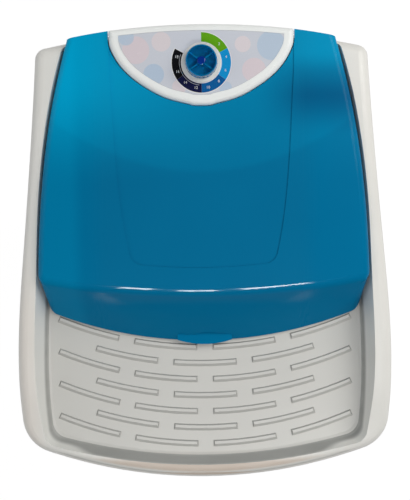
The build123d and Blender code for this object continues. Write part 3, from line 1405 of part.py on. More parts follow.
def motor_bolts():
    """Bolts through both bells and the core."""
    low = CORE_BOTTOM_Z - BELL_HEIGHT
    high = CORE_TOP_Z + BELL_HEIGHT
    bolts = []
    for x, y in through_bolt_places():
        bolt = hex_prism(x, y, low - 4, low, 4.6) + rod(x, y, low - 1, high + 1, BOLT_RADIUS)
        bolts.append(bolt + hex_prism(x, y, high, high + 2.4, 4.6))
    return bolts


def rubber_mounts():
    """Rubber rings between the motor's ears and the bracket."""
    top = BRACKET_Z
    return [tube(x, y, top - MOUNT_HEIGHT, top, 9, BOLT_RADIUS + BOLT_PLAY) for x, y in mount_places()]


def mount_bolts():
    """Bolts from the bracket down through the rubber mounts into the motor's ears."""
    top = BRACKET_Z + BRACKET_THICKNESS
    bolts = []
    for x, y in mount_places():
        shank = rod(x, y, BRACKET_Z - MOUNT_HEIGHT - 9, top + 1, BOLT_RADIUS)
        bolts.append(hex_prism(x, y, top, top + 3, BOLT_HEAD) + shank)
    return bolts


def bracket_bolt_places():
    """X and Y of the bolts between the bracket's feet and the tub."""
    x = (BRACKET_EAR_X0 + BRACKET_EAR_X1) / 2 + 1.5
    places = []
    for y in (BRACKET_EAR_Y0 + 9, BRACKET_EAR_Y1 - 9):
        places += [(x, y), (-x, y)]
    return places


def motor_bracket():
    """Pressed steel bridge under the tub that carries the motor."""
    t = BRACKET_THICKNESS
    top = PAD_Z - SIDE_GAP
    half = BRACKET_HALF
    plate = block(-half, half, MOTOR_Y - half, MOTOR_Y + half, BRACKET_Z, BRACKET_Z + t)
    plate = fillet(plate.edges().filter_by(Axis.Z), 12)
    for side in both_sides(
        block(BRACKET_HALF - t, BRACKET_HALF, BRACKET_EAR_Y0, BRACKET_EAR_Y1, BRACKET_Z, top)
        + block(BRACKET_HALF - t, BRACKET_EAR_X1, BRACKET_EAR_Y0, BRACKET_EAR_Y1, top - t, top)
    ):
        plate += side
    plate -= rod(0, MOTOR_Y, 0, PULLEY_Z, 16)
    for x, y in mount_places():
        plate -= rod(x, y, 0, PULLEY_Z + 30, BOLT_RADIUS + BOLT_PLAY)
    for x, y in through_bolt_places():
        plate -= rod(x, y, BRACKET_Z - 1, BRACKET_Z + t + 1, 6)
    for x, y in bracket_bolt_places():
        plate -= rod(x, y, top - t - 1, top + 1, BOLT_RADIUS + BOLT_PLAY)
    return plate


def bracket_bolts():
    """Bolts through the bracket's feet up into the tub's pads."""
    low = PAD_Z - SIDE_GAP - BRACKET_THICKNESS
    bolts = []
    for x, y in bracket_bolt_places():
        bolts.append(hex_prism(x, y, low - 4, low, BOLT_HEAD) + rod(x, y, low - 1, PAD_Z + 10, BOLT_RADIUS))
    return bolts


def capacitor():
    """Run capacitor of the motor, standing on the rear beam."""
    x, y = CAPACITOR_PLACE
    low = BASE_BOTTOM_Z + BEAM_HEIGHT + 0.3
    can = rod(x, y, low, low + 62, CAPACITOR_RADIUS)
    can = fillet(can.edges().filter_by(GeomType.CIRCLE), 2)
    for side in (-6, 6):
        can += block(x + side - 0.5, x + side + 0.5, y - 3, y + 3, low + 61, low + 70)
    return can


def capacitor_clip():
    """Band round the capacitor with an ear screwed to the beam."""
    x, y = CAPACITOR_PLACE
    low = BASE_BOTTOM_Z + BEAM_HEIGHT
    band = tube(x, y, low, low + 14, CAPACITOR_RADIUS + 1.5, CAPACITOR_RADIUS + 0.3)
    ear = block(x + CAPACITOR_RADIUS + 0.8, x + CLIP_EAR + 7, y - 7, y + 7, low, low + 2)
    x += CLIP_EAR
    ear -= rod(x, y, low - 1, low + 3, SCREW_HOLE)
    screw = hex_prism(x, y, low + 2, low + 4.5, 3.8) + rod(x, y, low - 3, low + 3, SCREW_SHANK)
    return [band + ear, screw]


def drain_strainer():
    """Slotted strainer in the tub's outlet."""
    top = TUB_BOTTOM_Z + TUB_FLOOR
    disc = rod(DRAIN_X, DRAIN_Y, top, top + 2.5, DRAIN_RADIUS + 3)
    disc = fillet(disc.edges().sort_by(Axis.Z)[-1], 1.5)
    for index in range(-2, 3):
        half = math.sqrt(12.0**2 - (5 * index) ** 2)
        x = DRAIN_X + 5 * index
        disc -= block(x - 1.2, x + 1.2, DRAIN_Y - half, DRAIN_Y + half, top - 1, top + 4)
    collar = tube(DRAIN_X, DRAIN_Y, top - 14, top + 0.5, DRAIN_BORE - 0.3, DRAIN_BORE - 1.6)
    return disc + collar


def drain_elbow():
    """Rubber elbow from the tub's outlet to the drain pipe."""
    top = WELL_Z - TUB_FLOOR - 3
    stub_end = TUB_BOTTOM_Z - 30
    turn_y = DRAIN_Y + 33
    body = rod(DRAIN_X, DRAIN_Y, DRAIN_Z, top, ELBOW_RADIUS)
    body += rod_y(DRAIN_X, DRAIN_Z, DRAIN_Y, turn_y, ELBOW_RADIUS)
    body += Pos(DRAIN_X, DRAIN_Y, DRAIN_Z) * Sphere(ELBOW_RADIUS)
    body -= rod(DRAIN_X, DRAIN_Y, stub_end - SIDE_GAP, top + 1, DRAIN_RADIUS + SIDE_GAP)
    body -= rod(DRAIN_X, DRAIN_Y, DRAIN_Z, stub_end, DRAIN_BORE)
    body -= rod_y(DRAIN_X, DRAIN_Z, DRAIN_Y, turn_y + 1, SPIGOT_BORE)
    body -= rod_y(DRAIN_X, DRAIN_Z, turn_y - 15, turn_y + 1, SPIGOT_RADIUS + SIDE_GAP)
    body -= Pos(DRAIN_X, DRAIN_Y, DRAIN_Z) * Sphere(SPIGOT_BORE)
    return body


def drain_pipe():
    """Drain pipe to the rear wall, with a tee for the overflow pipe."""
    y0 = DRAIN_Y + 18.5
    y1 = SPIGOT_FLANGE_Y - SIDE_GAP
    body = rod_y(DRAIN_X, DRAIN_Z, y0, y1, SPIGOT_RADIUS)
    body += rod(DRAIN_X, TEE_Y, DRAIN_Z, DRAIN_Z + 32, OVERFLOW_RADIUS + 2.8)
    body -= rod(DRAIN_X, TEE_Y, DRAIN_Z + 18, DRAIN_Z + 33, OVERFLOW_RADIUS + SIDE_GAP)
    body -= rod(DRAIN_X, TEE_Y, DRAIN_Z, DRAIN_Z + 33, OVERFLOW_RADIUS - 2)
    return body - rod_y(DRAIN_X, DRAIN_Z, y0 - 1, y1 + 1, SPIGOT_BORE)


def overflow_pipe():
    """Pipe from the tub's overflow down to the drain pipe."""
    low = DRAIN_Z + 18.4
    z = OVERFLOW_Z
    body = rod(DRAIN_X, TEE_Y, low, z, OVERFLOW_RADIUS)
    body += rod_y(DRAIN_X, z, OVERFLOW_FACE_Y + SIDE_GAP, TEE_Y, OVERFLOW_RADIUS)
    body += Pos(DRAIN_X, TEE_Y, z) * Sphere(OVERFLOW_RADIUS)
    body -= rod(DRAIN_X, TEE_Y, low - 1, z, OVERFLOW_RADIUS - 2)
    body -= Pos(DRAIN_X, TEE_Y, z) * Sphere(OVERFLOW_RADIUS - 2)
    return body - rod_y(DRAIN_X, z, OVERFLOW_FACE_Y - 2, TEE_Y, OVERFLOW_RADIUS - 2)


def drain_spigot():
    """Outlet for the drain hose on the rear wall."""
    y = SPIGOT_FLANGE_Y
    body = rod_y(DRAIN_X, DRAIN_Z, y, y + 3, 22) + rod_y(DRAIN_X, DRAIN_Z, y, SPIGOT_END_Y, SPIGOT_RADIUS)
    body += rod_y(DRAIN_X, DRAIN_Z, y - 16, y + 1, SPIGOT_BORE - SIDE_GAP)
    return body - rod_y(DRAIN_X, DRAIN_Z, y - 17, SPIGOT_END_Y + 1, SPIGOT_BORE - 2.5)


def hose_clamps():
    """Clamps round both ends of the rubber elbow."""
    z = WELL_Z - TUB_FLOOR - 13
    y = DRAIN_Y + 26
    outer = ELBOW_RADIUS + 1.6
    inner = ELBOW_RADIUS + 0.2
    upper = tube(DRAIN_X, DRAIN_Y, z, z + 8, outer, inner)
    lower = rod_y(DRAIN_X, DRAIN_Z, y - 2, y + 5, outer) - rod_y(DRAIN_X, DRAIN_Z, y - 3, y + 6, inner)
    return [upper, lower]


def overflow_grille():
    """Slotted grille over the overflow hole, on the inside of the tub's rear wall."""
    plate = tub_room(SIDE_GAP) - tub_room(SIDE_GAP + 2.5)
    disc = rod_y(OVERFLOW_X, OVERFLOW_Z, 0, REAR_Y, 22)
    plate &= disc
    for index in range(-2, 3):
        z = OVERFLOW_Z + 6 * index
        plate -= block(OVERFLOW_X - 14, OVERFLOW_X + 14, 0, REAR_Y, z - 1.5, z + 1.5)
    return plate


def tub_room(gap):
    """Upper inside of the tub, drawn in by gap from its walls."""
    top_inset = TUB_INSET + TUB_WALL + gap
    return body_block(top_inset + TUB_DRAFT, TUB_BOTTOM_Z, top_inset, TUB_TOP_Z)


def filter_guide():
    """Channel on the tub's left wall that holds the lint filter."""
    x = -FILTER_FACE_X
    half = FILTER_WIDTH / 2
    low = FILTER_TOP_Z - FILTER_HEIGHT
    front_x = x + FILTER_DEPTH
    pieces = None
    for side in (-1, 1):
        y0, y1 = sorted((FILTER_Y + side * (half + 0.4), FILTER_Y + side * (half + 4.4)))
        rail = block(x - 16, front_x + 2.9, y0, y1, low - 6, FILTER_TOP_Z - 6)
        y0, y1 = sorted((FILTER_Y + side * (half - 5), FILTER_Y + side * (half + 4.4)))
        rail += block(front_x + 0.4, front_x + 2.9, y0, y1, low - 6, FILTER_TOP_Z - 6)
        pieces = rail if pieces is None else pieces + rail
    back = block(x - 16, x - 0.4, FILTER_Y - half - 4, FILTER_Y + half + 4, low - 6, FILTER_TOP_Z - 6)
    back -= block(x - 16, x + 1, FILTER_Y - half + 10, FILTER_Y + half - 10, low + 10, FILTER_TOP_Z - 20)
    bottom = block(x - 16, front_x + 2.9, FILTER_Y - half - 4, FILTER_Y + half + 4, low - 6, low - SIDE_GAP)
    guide = pieces + back + bottom
    return guide & tub_room(SIDE_GAP)


def filter_window():
    """Windows of the lint filter: two openings with a bar between them."""
    x = -FILTER_FACE_X
    low = FILTER_TOP_Z - FILTER_HEIGHT
    middle = low + FILTER_HEIGHT / 2
    half = FILTER_WIDTH / 2 - 9
    windows = []
    for z0, z1 in ((low + 10, middle - 4), (middle + 4, FILTER_TOP_Z - 16)):
        windows.append(block(x - 5, x + FILTER_DEPTH + 5, FILTER_Y - half, FILTER_Y + half, z0, z1))
    return windows


def filter_frame():
    """Frame of the lint filter, with a grip at its top."""
    x = -FILTER_FACE_X
    half = FILTER_WIDTH / 2
    low = FILTER_TOP_Z - FILTER_HEIGHT
    body = block(x, x + FILTER_DEPTH, FILTER_Y - half, FILTER_Y + half, low, FILTER_TOP_Z)
    for window in filter_window():
        body -= window
    body -= block(x + 4, x + 5.2, FILTER_Y - half + 6, FILTER_Y + half - 6, low + 7, FILTER_TOP_Z - 13)
    face_x = x + FILTER_DEPTH
    grip = block(face_x - 1, face_x + 14, FILTER_Y - 20, FILTER_Y + 20, FILTER_TOP_Z - 3, FILTER_TOP_Z)
    grip = fillet([e for e in grip.edges().filter_by(Axis.Z) if e.center().X > face_x], 8)
    return body + grip


def filter_net():
    """Net of the lint filter, clamped in the frame."""
    x = -FILTER_FACE_X
    half = FILTER_WIDTH / 2 - 6.2
    low = FILTER_TOP_Z - FILTER_HEIGHT
    return block(x + 4.2, x + 5.0, FILTER_Y - half, FILTER_Y + half, low + 7.2, FILTER_TOP_Z - 13.2)


save("top_frame", top_frame())
save("lid_shell", lid_shell())
save("hinge_pins", *hinge_pins())
save("lid_bumpers", *lid_bumpers())
save("console_housing", console_housing())
save("panel_overlay", panel_overlay())
save("dial_collar", dial_collar())
save("timer_body", timer_body())
save("timer_screws", *timer_screws())
save("timer_shaft", timer_shaft())
save("timer_knob", timer_knob())
save("console_screws", *console_screws())
save("cabinet_shell", cabinet_shell())
save("rear_cover", rear_cover())
save("rear_cover_screws", *rear_cover_screws())
save("cord_grommet", cord_grommet())
save("frame_screws", *frame_screws())
save("base_frame", base_frame())
save("feet", *feet())
save("foot_screws", *foot_screws())
save("tub", tub())
save("tub_seal", tub_seal())
save("bearing_housing", bearing_housing())
save("shaft_bushes", *shaft_bushes())
save("shaft_seal", shaft_seal())
save("housing_bolts", *housing_bolts())
save("agitator", agitator())
save("agitator_cap", agitator_cap())
save("agitator_screw", agitator_screw())
save("agitator_shaft", agitator_shaft())
save("large_pulley", large_pulley())
save("pulley_nut", pulley_nut())
save("drive_belt", drive_belt())
save("motor_pulley", motor_pulley())
save("pulley_set_screw", pulley_set_screw())
save("motor_shaft", motor_shaft())
save("motor_rotor", motor_rotor())
save("motor_core", motor_core())
save("motor_bells", *motor_bells())
save("motor_bolts", *motor_bolts())
save("rubber_mounts", *rubber_mounts())
save("mount_bolts", *mount_bolts())
save("motor_bracket", motor_bracket())
save("bracket_bolts", *bracket_bolts())
save("capacitor", capacitor())
save("capacitor_clip", *capacitor_clip())
save("drain_strainer", drain_strainer())
save("drain_elbow", drain_elbow())
save("drain_pipe", drain_pipe())
save("overflow_pipe", overflow_pipe())
save("drain_spigot", drain_spigot())
save("hose_clamps", *hose_clamps())
save("overflow_grille", overflow_grille())
save("filter_guide", filter_guide())
save("filter_frame", filter_frame())
save("filter_net", filter_net())
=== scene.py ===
# %% [markdown]
# # A semi-automatic washing machine, seen from straight above
#
# The machine is a tapered white cabinet with one big white moulding on top. That moulding has
# rails at its sides, a ribbed washboard tray at the front, and a blue lid over the tub at the
# rear. A small console with a timer knob sits in a notch of the lid.
#
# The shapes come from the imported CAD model, which is loaded here as a fixed frame. What is left
# to do in Blender is everything that the eye reads as "real": the gloss and depth of the blue
# plastic, the print on the panel, the see-through knob, the light, and the camera.

# %% Load the frame
import json
import math

import bpy
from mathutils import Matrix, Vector


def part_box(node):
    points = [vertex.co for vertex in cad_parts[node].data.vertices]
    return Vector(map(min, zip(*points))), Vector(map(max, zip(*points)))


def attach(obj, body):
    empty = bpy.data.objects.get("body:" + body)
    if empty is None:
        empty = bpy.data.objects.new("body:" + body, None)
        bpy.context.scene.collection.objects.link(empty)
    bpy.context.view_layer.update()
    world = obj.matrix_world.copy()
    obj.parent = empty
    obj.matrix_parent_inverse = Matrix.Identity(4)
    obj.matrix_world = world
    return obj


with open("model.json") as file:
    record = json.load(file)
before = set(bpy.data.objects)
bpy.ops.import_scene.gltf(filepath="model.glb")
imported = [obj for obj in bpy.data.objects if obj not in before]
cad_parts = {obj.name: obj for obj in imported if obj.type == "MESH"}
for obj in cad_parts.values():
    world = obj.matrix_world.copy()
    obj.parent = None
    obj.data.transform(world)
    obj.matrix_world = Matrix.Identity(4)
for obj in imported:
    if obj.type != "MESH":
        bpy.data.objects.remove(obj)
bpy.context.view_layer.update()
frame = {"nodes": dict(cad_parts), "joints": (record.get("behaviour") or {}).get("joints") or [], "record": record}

nodes = frame["nodes"]
print("CAD nodes:", len(nodes))

# %% [markdown]
# ## Shader maths in plain Python
#
# A node tree is a formula drawn as boxes. Written as Python it is shorter and easier to check.
# `Wire` wraps one output socket, and each operator adds a Math node. `Tree` adds nodes to any
# tree. `Finish` is one material: its fixed numbers sit on the shader's own sockets, and what
# varies over the surface is fed in.


# %% The Wire class
class Wire:
    """An output socket that can be used in an expression."""

    def __init__(self, owner, socket):
        self.owner = owner
        self.socket = socket

    def math(self, operation, *others):
        return self.owner.math(operation, self, *others)

    def __add__(self, other):
        return self.math("ADD", other)

    def __sub__(self, other):
        return self.math("SUBTRACT", other)

    def __rsub__(self, other):
        return self.owner.math("SUBTRACT", other, self)

    def __mul__(self, other):
        return self.math("MULTIPLY", other)

    def __gt__(self, other):
        return self.math("GREATER_THAN", other)

    def __lt__(self, other):
        return self.math("LESS_THAN", other)

    __radd__ = __add__
    __rmul__ = __mul__

    def step(self, low, high):
        """0 below low, 1 above high, and a smooth ramp between them."""
        ramp = {"interpolation_type": "SMOOTHSTEP"}
        limits = {"From Min": low, "From Max": high}
        return self.owner.node("ShaderNodeMapRange", ramp, {"Value": self, **limits})

    def band(self, low, high, soft):
        """1 between low and high, with soft edges."""
        return self.step(low - soft, low + soft) * (1 - self.step(high - soft, high + soft))


print("Wire ready")


# %% The Tree and Finish classes
class Tree:
    """A node tree, with one method that adds any kind of node."""

    def __init__(self, tree):
        self.tree = tree

    def node(self, kind, settings, inputs, output=0):
        """Adds a node: its settings first, then the values or links of its sockets."""
        node = self.tree.nodes.new(kind)
        for key, value in settings.items():
            setattr(node, key, value)
        for key, value in inputs.items():
            socket = node.inputs[key]
            if isinstance(value, Wire):
                self.tree.links.new(value.socket, socket)
            elif isinstance(value, tuple) and len(value) == 3 and socket.type == "RGBA":
                socket.default_value = (*value, 1.0)
            else:
                socket.default_value = value
        return Wire(self, node.outputs[output]) if output is not None else node

    def math(self, operation, *values):
        return self.node("ShaderNodeMath", {"operation": operation}, dict(enumerate(values)))

    def vector_math(self, operation, a, b, output=0):
        return self.node("ShaderNodeVectorMath", {"operation": operation}, {0: a, 1: b}, output)

    def split(self, vector):
        """The three parts of a vector, as wires."""
        return [self.node("ShaderNodeSeparateXYZ", {}, {0: vector}, axis) for axis in "XYZ"]

    def mix(self, factor, a, b):
        """Colour a where factor is 0, and b where it is 1."""
        return self.node("ShaderNodeMix", {"data_type": "RGBA"}, {0: factor, 6: a, 7: b}, 2)

    def is_ray(self, kind):
        """1 for rays of one kind: Camera, Glossy or Transmission."""
        return self.node("ShaderNodeLightPath", {}, {}, f"Is {kind} Ray")


class Finish(Tree):
    """A material whose fixed values sit on the Principled shader's own sockets."""

    def __init__(self, name, **fixed):
        self.material = bpy.data.materials.new(name)
        self.material.use_nodes = True
        super().__init__(self.material.node_tree)
        self.shader = self.tree.nodes["Principled BSDF"]
        for key, value in fixed.items():
            self.shader.inputs[key.replace("_", " ")].default_value = value

    def place(self):
        """Position on the object, in metres."""
        return self.node("ShaderNodeTexCoord", {}, {}, "Object")

    def noise(self, vector, scale, detail=2.0):
        """Cloudy noise between 0 and 1."""
        return self.node(
            "ShaderNodeTexNoise", {}, {"Vector": vector, "Scale": scale, "Detail": detail}
        )

    def stretched(self, vector, x, y, z):
        """The position with each axis scaled, for streaks."""
        return self.vector_math("MULTIPLY", vector, (x, y, z))

    def feed(self, socket, wire):
        self.tree.links.new(wire.socket, self.shader.inputs[socket])

    def bump(self, height, distance):
        """Relief that the geometry is too coarse for; distance is its real depth in metres."""
        relief = {"Height": height, "Distance": distance, "Strength": 1.0}
        self.feed("Normal", self.node("ShaderNodeBump", {}, relief))


print("Tree and Finish ready")


# %% Colours and distances
def linear(level):
    """One channel read as 0 to 255 on screen, as the linear value that a shader takes."""
    share = level / 255
    return share / 12.92 if share <= 0.04045 else ((share + 0.055) / 1.055) ** 2.4


def from_srgb(*levels):
    return tuple(linear(level) for level in levels)


def darker(colour, share):
    return tuple(channel * share for channel in colour)


def distance(across, along):
    """Length of a flat vector, from its two wires."""
    return (across * across + along * along).math("SQRT")


WHITE = from_srgb(236, 235, 230)
print("white", tuple(round(channel, 3) for channel in WHITE))

# %% [markdown]
# ## White moulded plastic
#
# The cabinet, the top frame and the console are injection-moulded in white. Such a surface isn't
# flat: it has a faint orange-peel from the tool, a slightly uneven gloss where hands have rubbed
# it, and a trace of dust in the hollows. Those three are noise at three scales.

# %% White plastic
PLASTIC = {"IOR": 1.49, "Specular_IOR_Level": 0.42}
GLOSS = 0.34
WORN = 0.1
GRAIN_ROUGHNESS = 0.03
PEEL = 0.00002
DUSTY = 0.97


def moulding_skin(finish, colour, gloss, peel):
    """Orange-peel for a moulding; returns its dusty colour and its uneven roughness."""
    place = finish.place()
    cloud = finish.noise(place, 9.0, 3.0)
    grain = finish.noise(place, 620.0, 1.0)
    finish.bump(grain + finish.noise(place, 90.0) * 2.0, peel)
    dusty = finish.mix(cloud.step(0.35, 0.75), colour, darker(colour, DUSTY))
    return dusty, gloss - WORN / 2 + cloud * WORN + grain * GRAIN_ROUGHNESS


def moulded(name, colour, gloss=GLOSS, peel=PEEL):
    """Moulded plastic with orange-peel, uneven gloss and a trace of dust."""
    finish = Finish(name, **PLASTIC)
    dusty, roughness = moulding_skin(finish, colour, gloss, peel)
    finish.feed("Base Color", dusty)
    finish.feed("Roughness", roughness)
    return finish.material


white_moulding = moulded("white_moulding", WHITE)
tub_white = moulded("tub_white", from_srgb(226, 229, 232), gloss=0.28)
print("white plastic ready")

# %% [markdown]
# ## The washboard, with painted shade
#
# The top frame carries painted shade in its base colour: the slopes of the bars and the foot of
# the walls round the tray are painted grey where shade falls, and the flat floor, which lies low
# between the walls, is painted a little darker than the rails. The front rim is painted darker and
# warm, partly as painted shade and partly as a warm tint of its own. The left rail and the left
# wall of the tray get painted warm light. How steep a face is can be read from the third value of
# its normal, which is 1 on level ground. The outer skirt, whose normal points away from the
# middle, gets no painted shade.

# %% Top frame with painted shade
BASIN_FRONT_Y = -0.2865
BASIN_HALF = 0.232
# heights and colours of the painted shade, of the partly painted warm rim and of the painted warm light on the
# left
WALL_SHADE_Z = 0.813
FRONT_WALL_EXTRA = 0.013
PAINTED_SHADE_GREY = (0.11, 0.115, 0.11)
FLOOR_SHADE_GREY = (0.30, 0.30, 0.285)
WARM_SHADED_RIM = (0.60, 0.50, 0.42)
PAINTED_WARM_LIGHT = (0.80, 0.70, 0.62)


def white_with_painted_shade():
    finish = Finish("white_with_painted_shade", **PLASTIC)
    place = finish.place()
    x, y, z = finish.split(place)
    normal = finish.node("ShaderNodeTexCoord", {}, {}, "Normal")
    level = finish.split(normal)[2]
    from_middle = finish.stretched(place, 1.0, 1.0, 0.0)
    skirt = finish.vector_math("DOT_PRODUCT", normal, from_middle, "Value").step(0.185, 0.215)
    streak_noise = finish.noise(finish.stretched(place, 14.0, 60.0, 14.0), 1.0, 3.0)

    # painted shade: the steep faces low in the tray, the bar slopes and the foot of the walls, are painted grey
    # where shade falls
    inside = (y > BASIN_FRONT_Y) * (x.math("ABSOLUTE") < BASIN_HALF)
    steep = 1 - level.step(0.62, 1.02)
    front_wall = 1 - y.step(-0.262, -0.250)
    shade_top = WALL_SHADE_Z + front_wall * FRONT_WALL_EXTRA
    low = 1 - ((z - shade_top) * 200.0).step(-1.0, 1.0)
    painted_shade = inside * steep * low * (1 - skirt) * (0.50 + streak_noise * 0.16)

    # painted shade: the tray floor, low between the walls, is painted darker
    tray_floor = inside * (1 - z.step(0.8035, 0.806)) * (1 - steep)
    # the front rim is painted darker and warm: partly painted shade, partly a warm tint of its own
    rim = (1 - y.step(-0.274, -0.262)) * (1 - z.step(0.826, 0.838)) * (1 - skirt * 0.9)
    rim_warm_and_shade = rim * (1 - painted_shade.step(0.0, 0.1)) * (0.62 + streak_noise * 0.5)
    # painted warm light on the left rail and the left wall of the tray, which face the lamp
    left_rail = (1 - x.step(-0.236, -0.205)) * (1 - y.step(-0.10, 0.06))

    colour, roughness = moulding_skin(finish, WHITE, GLOSS, PEEL)
    layers = [
        (tray_floor * 0.33, FLOOR_SHADE_GREY),
        (painted_shade, PAINTED_SHADE_GREY),
        (rim_warm_and_shade.math("MINIMUM", 0.9), WARM_SHADED_RIM),
        (left_rail * level.step(0.2, 0.9) * 0.35, PAINTED_WARM_LIGHT),
    ]
    for cover, paint in layers:
        colour = finish.mix(cover, colour, paint)
    finish.feed("Base Color", colour)
    finish.feed("Roughness", roughness + painted_shade * 0.2)
    return finish.material


washboard = white_with_painted_shade()
print("washboard finish ready")

# %% [markdown]
# ## Blue lid
#
# The lid is a thin arched moulding in a deep, clean blue. Years of wiping have left very fine
# scratches that run from the hinge to the front edge. Its base colour also holds painted light:
# the rear is painted lighter for light that comes through the thin plastic from the white parts
# below, the rear left carries a painted reflection of a bright room, the left edge a painted glare,
# the rear right a painted dark reflection and a painted light corner, and behind a faint arc a
# painted reflection lifts the colour a little. A strong gloss would wash the blue out with grey, so
# the gloss under the clear coat is low. The coat is strong on the top and the bend, where it
# mirrors three lamps as streaks, and weak on the steep front and at the sides.

# %% Blue plastic of the lid
lid_low, lid_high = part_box("lid_shell")
# the deep blue is the lid's own colour; the lighter blue is what the painted light mixes towards
LID_DEEP = (0.0, 0.110, 0.262)
LID_LIGHTER = (0.0, 0.410, 0.720)
LID_SHINE = {"IOR": 1.46, "Specular_IOR_Level": 0.03, "Coat_Roughness": 0.07, "Coat_IOR": 1.6}
ARC_CURVE = 1.8


def lid_blue():
    finish = Finish("lid_blue", **LID_SHINE)
    place = finish.place()
    x, y, z = finish.split(place)
    cloud = finish.noise(place, 7.0)

    # painted light in the base colour: lighter at the rear, a painted reflection at the rear left, a painted glare
    # on the left edge and a painted reflection behind the arc; the cloud is the blue's own uneven tone
    rear = y.step(0.09, 0.24)
    left = 1 - x.step(-0.16, 0.06)
    left_edge_glare = 1 - x.step(-0.172, -0.150)
    right = x.step(0.06, 0.14)
    arc_reflection = (y - x * x * ARC_CURVE).step(0.106, 0.116)
    clear = 0.20 + rear * 0.17 + rear * left * 0.42 + left_edge_glare * 0.12 + arc_reflection * 0.07
    # painted dark reflection at the rear right, and a painted light corner behind it
    clear = clear - right * y.band(0.180, 0.232, 0.030) * 0.40
    clear = clear + right * y.step(0.232, 0.262) * 0.20 + (cloud - 0.5) * 0.09
    finish.feed("Base Color", finish.mix(clear, LID_DEEP, LID_LIGHTER))

    wiped = finish.noise(finish.stretched(place, 260.0, 5.0, 60.0), 1.0, 3.0)
    off_middle = (x * x).step(0.009, 0.03)
    finish.feed("Roughness", 0.20 + wiped * 0.10 + off_middle * 0.06)
    finish.bump(wiped * (0.4 + off_middle * 0.6), 0.000012)

    steep_front = 1 - y.step(-0.062, -0.048)
    side = x.math("ABSOLUTE").step(0.12, 0.155)
    coat = (0.75 + cloud * 0.25) * (1 - steep_front * 0.93) * (1 - side * 0.95)
    finish.feed("Coat Weight", coat)
    return finish.material


blue_plastic = lid_blue()
print("lid spans", round(lid_low.y, 3), "to", round(lid_high.y, 3))

# %% [markdown]
# ## Panel overlay and its dial
#
# The overlay is a printed sheet. Its ground is pale lilac with large soft discs in pale pink and
# pale blue. Round the knob it has a ring in five colours, from green at the top through light
# blue and blue to navy and black at the upper left, each a stretch of the timer's time. The ring
# is drawn in the shader from the angle and the distance to the shaft, so it stays sharp.

# %% Sizes and colours of the print
collar_low, collar_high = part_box("dial_collar")
DIAL = Vector(((collar_low.x + collar_high.x) / 2, (collar_low.y + collar_high.y) / 2))
RING_INNER = 0.0256
RING_OUTER = 0.0372
RING_END_TURN = 299
GROUND = from_srgb(212, 216, 226)
BORDER = from_srgb(238, 238, 238)
FINE_LINE = from_srgb(230, 232, 236)
SEGMENTS = [
    (0, 62, from_srgb(98, 170, 12)),
    (62, 125, from_srgb(0, 152, 218)),
    (125, 180, from_srgb(0, 92, 158)),
    (180, 236, from_srgb(16, 22, 66)),
    (236, 298, from_srgb(10, 10, 16)),
]
DISCS = [
    (-0.082, 0.262, 0.017, from_srgb(228, 214, 220)),
    (-0.060, 0.232, 0.013, from_srgb(184, 204, 226)),
    (-0.094, 0.278, 0.010, from_srgb(190, 208, 228)),
    (-0.050, 0.272, 0.012, from_srgb(230, 220, 224)),
    (0.066, 0.236, 0.015, from_srgb(228, 214, 220)),
    (0.088, 0.266, 0.018, from_srgb(188, 207, 227)),
    (0.052, 0.268, 0.010, from_srgb(232, 222, 226)),
    (0.030, 0.2145, 0.008, from_srgb(190, 208, 228)),
    (-0.028, 0.2165, 0.009, from_srgb(229, 217, 222)),
]
print("dial centre", tuple(round(v, 4) for v in DIAL))


# %% The print
def overlay_print():
    shine = {"IOR": 1.5, "Specular_IOR_Level": 0.5, "Coat_Weight": 0.3, "Coat_Roughness": 0.08}
    finish = Finish("overlay_print", **shine)
    place = finish.place()
    x, y, z = finish.split(place)
    colour = GROUND
    for disc_x, disc_y, radius, paint in DISCS:
        reach = distance(x - disc_x, y - disc_y)
        inside = 1 - reach.step(radius - 0.0006, radius + 0.0006)
        colour = finish.mix(inside * 0.85, colour, paint)

    across = x - DIAL.x
    along = y - DIAL.y
    reach = distance(across, along)
    turn = across.math("ARCTAN2", along) * (180 / math.pi)
    clockwise = turn + (turn < 0) * 360
    border = reach.band(RING_INNER - 0.0007, RING_OUTER + 0.0009, 0.0001)
    colour = finish.mix(border * (clockwise < RING_END_TURN), colour, BORDER)
    ring = reach.band(RING_INNER, RING_OUTER, 0.0001)
    for start, end, paint in SEGMENTS:
        colour = finish.mix(ring * clockwise.band(start, end, 0.25), colour, paint)
    thin_ring = reach.band(RING_INNER + 0.0019, RING_INNER + 0.0023, 0.0001)
    colour = finish.mix(thin_ring * clockwise.band(186, 292, 0.3) * 0.8, colour, FINE_LINE)

    finish.feed("Base Color", colour)
    grain = finish.noise(place, 800.0, 1.0)
    finish.feed("Roughness", 0.22 + grain * 0.08)
    finish.bump(grain, 0.000006)
    return finish.material


overlay = overlay_print()
print("print ready:", len(SEGMENTS), "stretches of the ring and", len(DISCS), "discs")

# %% [markdown]
# ## The see-through knob
#
# The knob is a dish of clear blue plastic with ribs and a deeper blue hub. Light goes into it and
# comes out again at the white collar below, so the shader has a real transmission with a blue
# tint.

# %% Clear blue
KNOB_BLUE = from_srgb(0, 160, 222)
HUB_BLUE = from_srgb(10, 70, 190)


def clear_blue():
    finish = Finish("clear_blue", IOR=1.49, Transmission_Weight=0.55, Specular_IOR_Level=0.35)
    place = finish.place()
    x, y, z = finish.split(place)
    hub = 1 - distance(x - DIAL.x, y - DIAL.y).step(0.0050, 0.0062)
    finish.feed("Base Color", finish.mix(hub, KNOB_BLUE, HUB_BLUE))
    finish.feed("Roughness", 0.08 + finish.noise(place, 300.0) * 0.06)
    finish.bump(finish.noise(place, 500.0), 0.00001)
    return finish.material


knob_blue = clear_blue()
print("knob finish ready")

# %% [markdown]
# ## Everything that is out of sight from above
#
# Feet, drive, motor and drain are only seen from below or with the lid open, but each still gets
# the finish of the real piece: turned steel, die-cast aluminium, sintered bronze, black
# rubber, varnished laminations and a woven net.


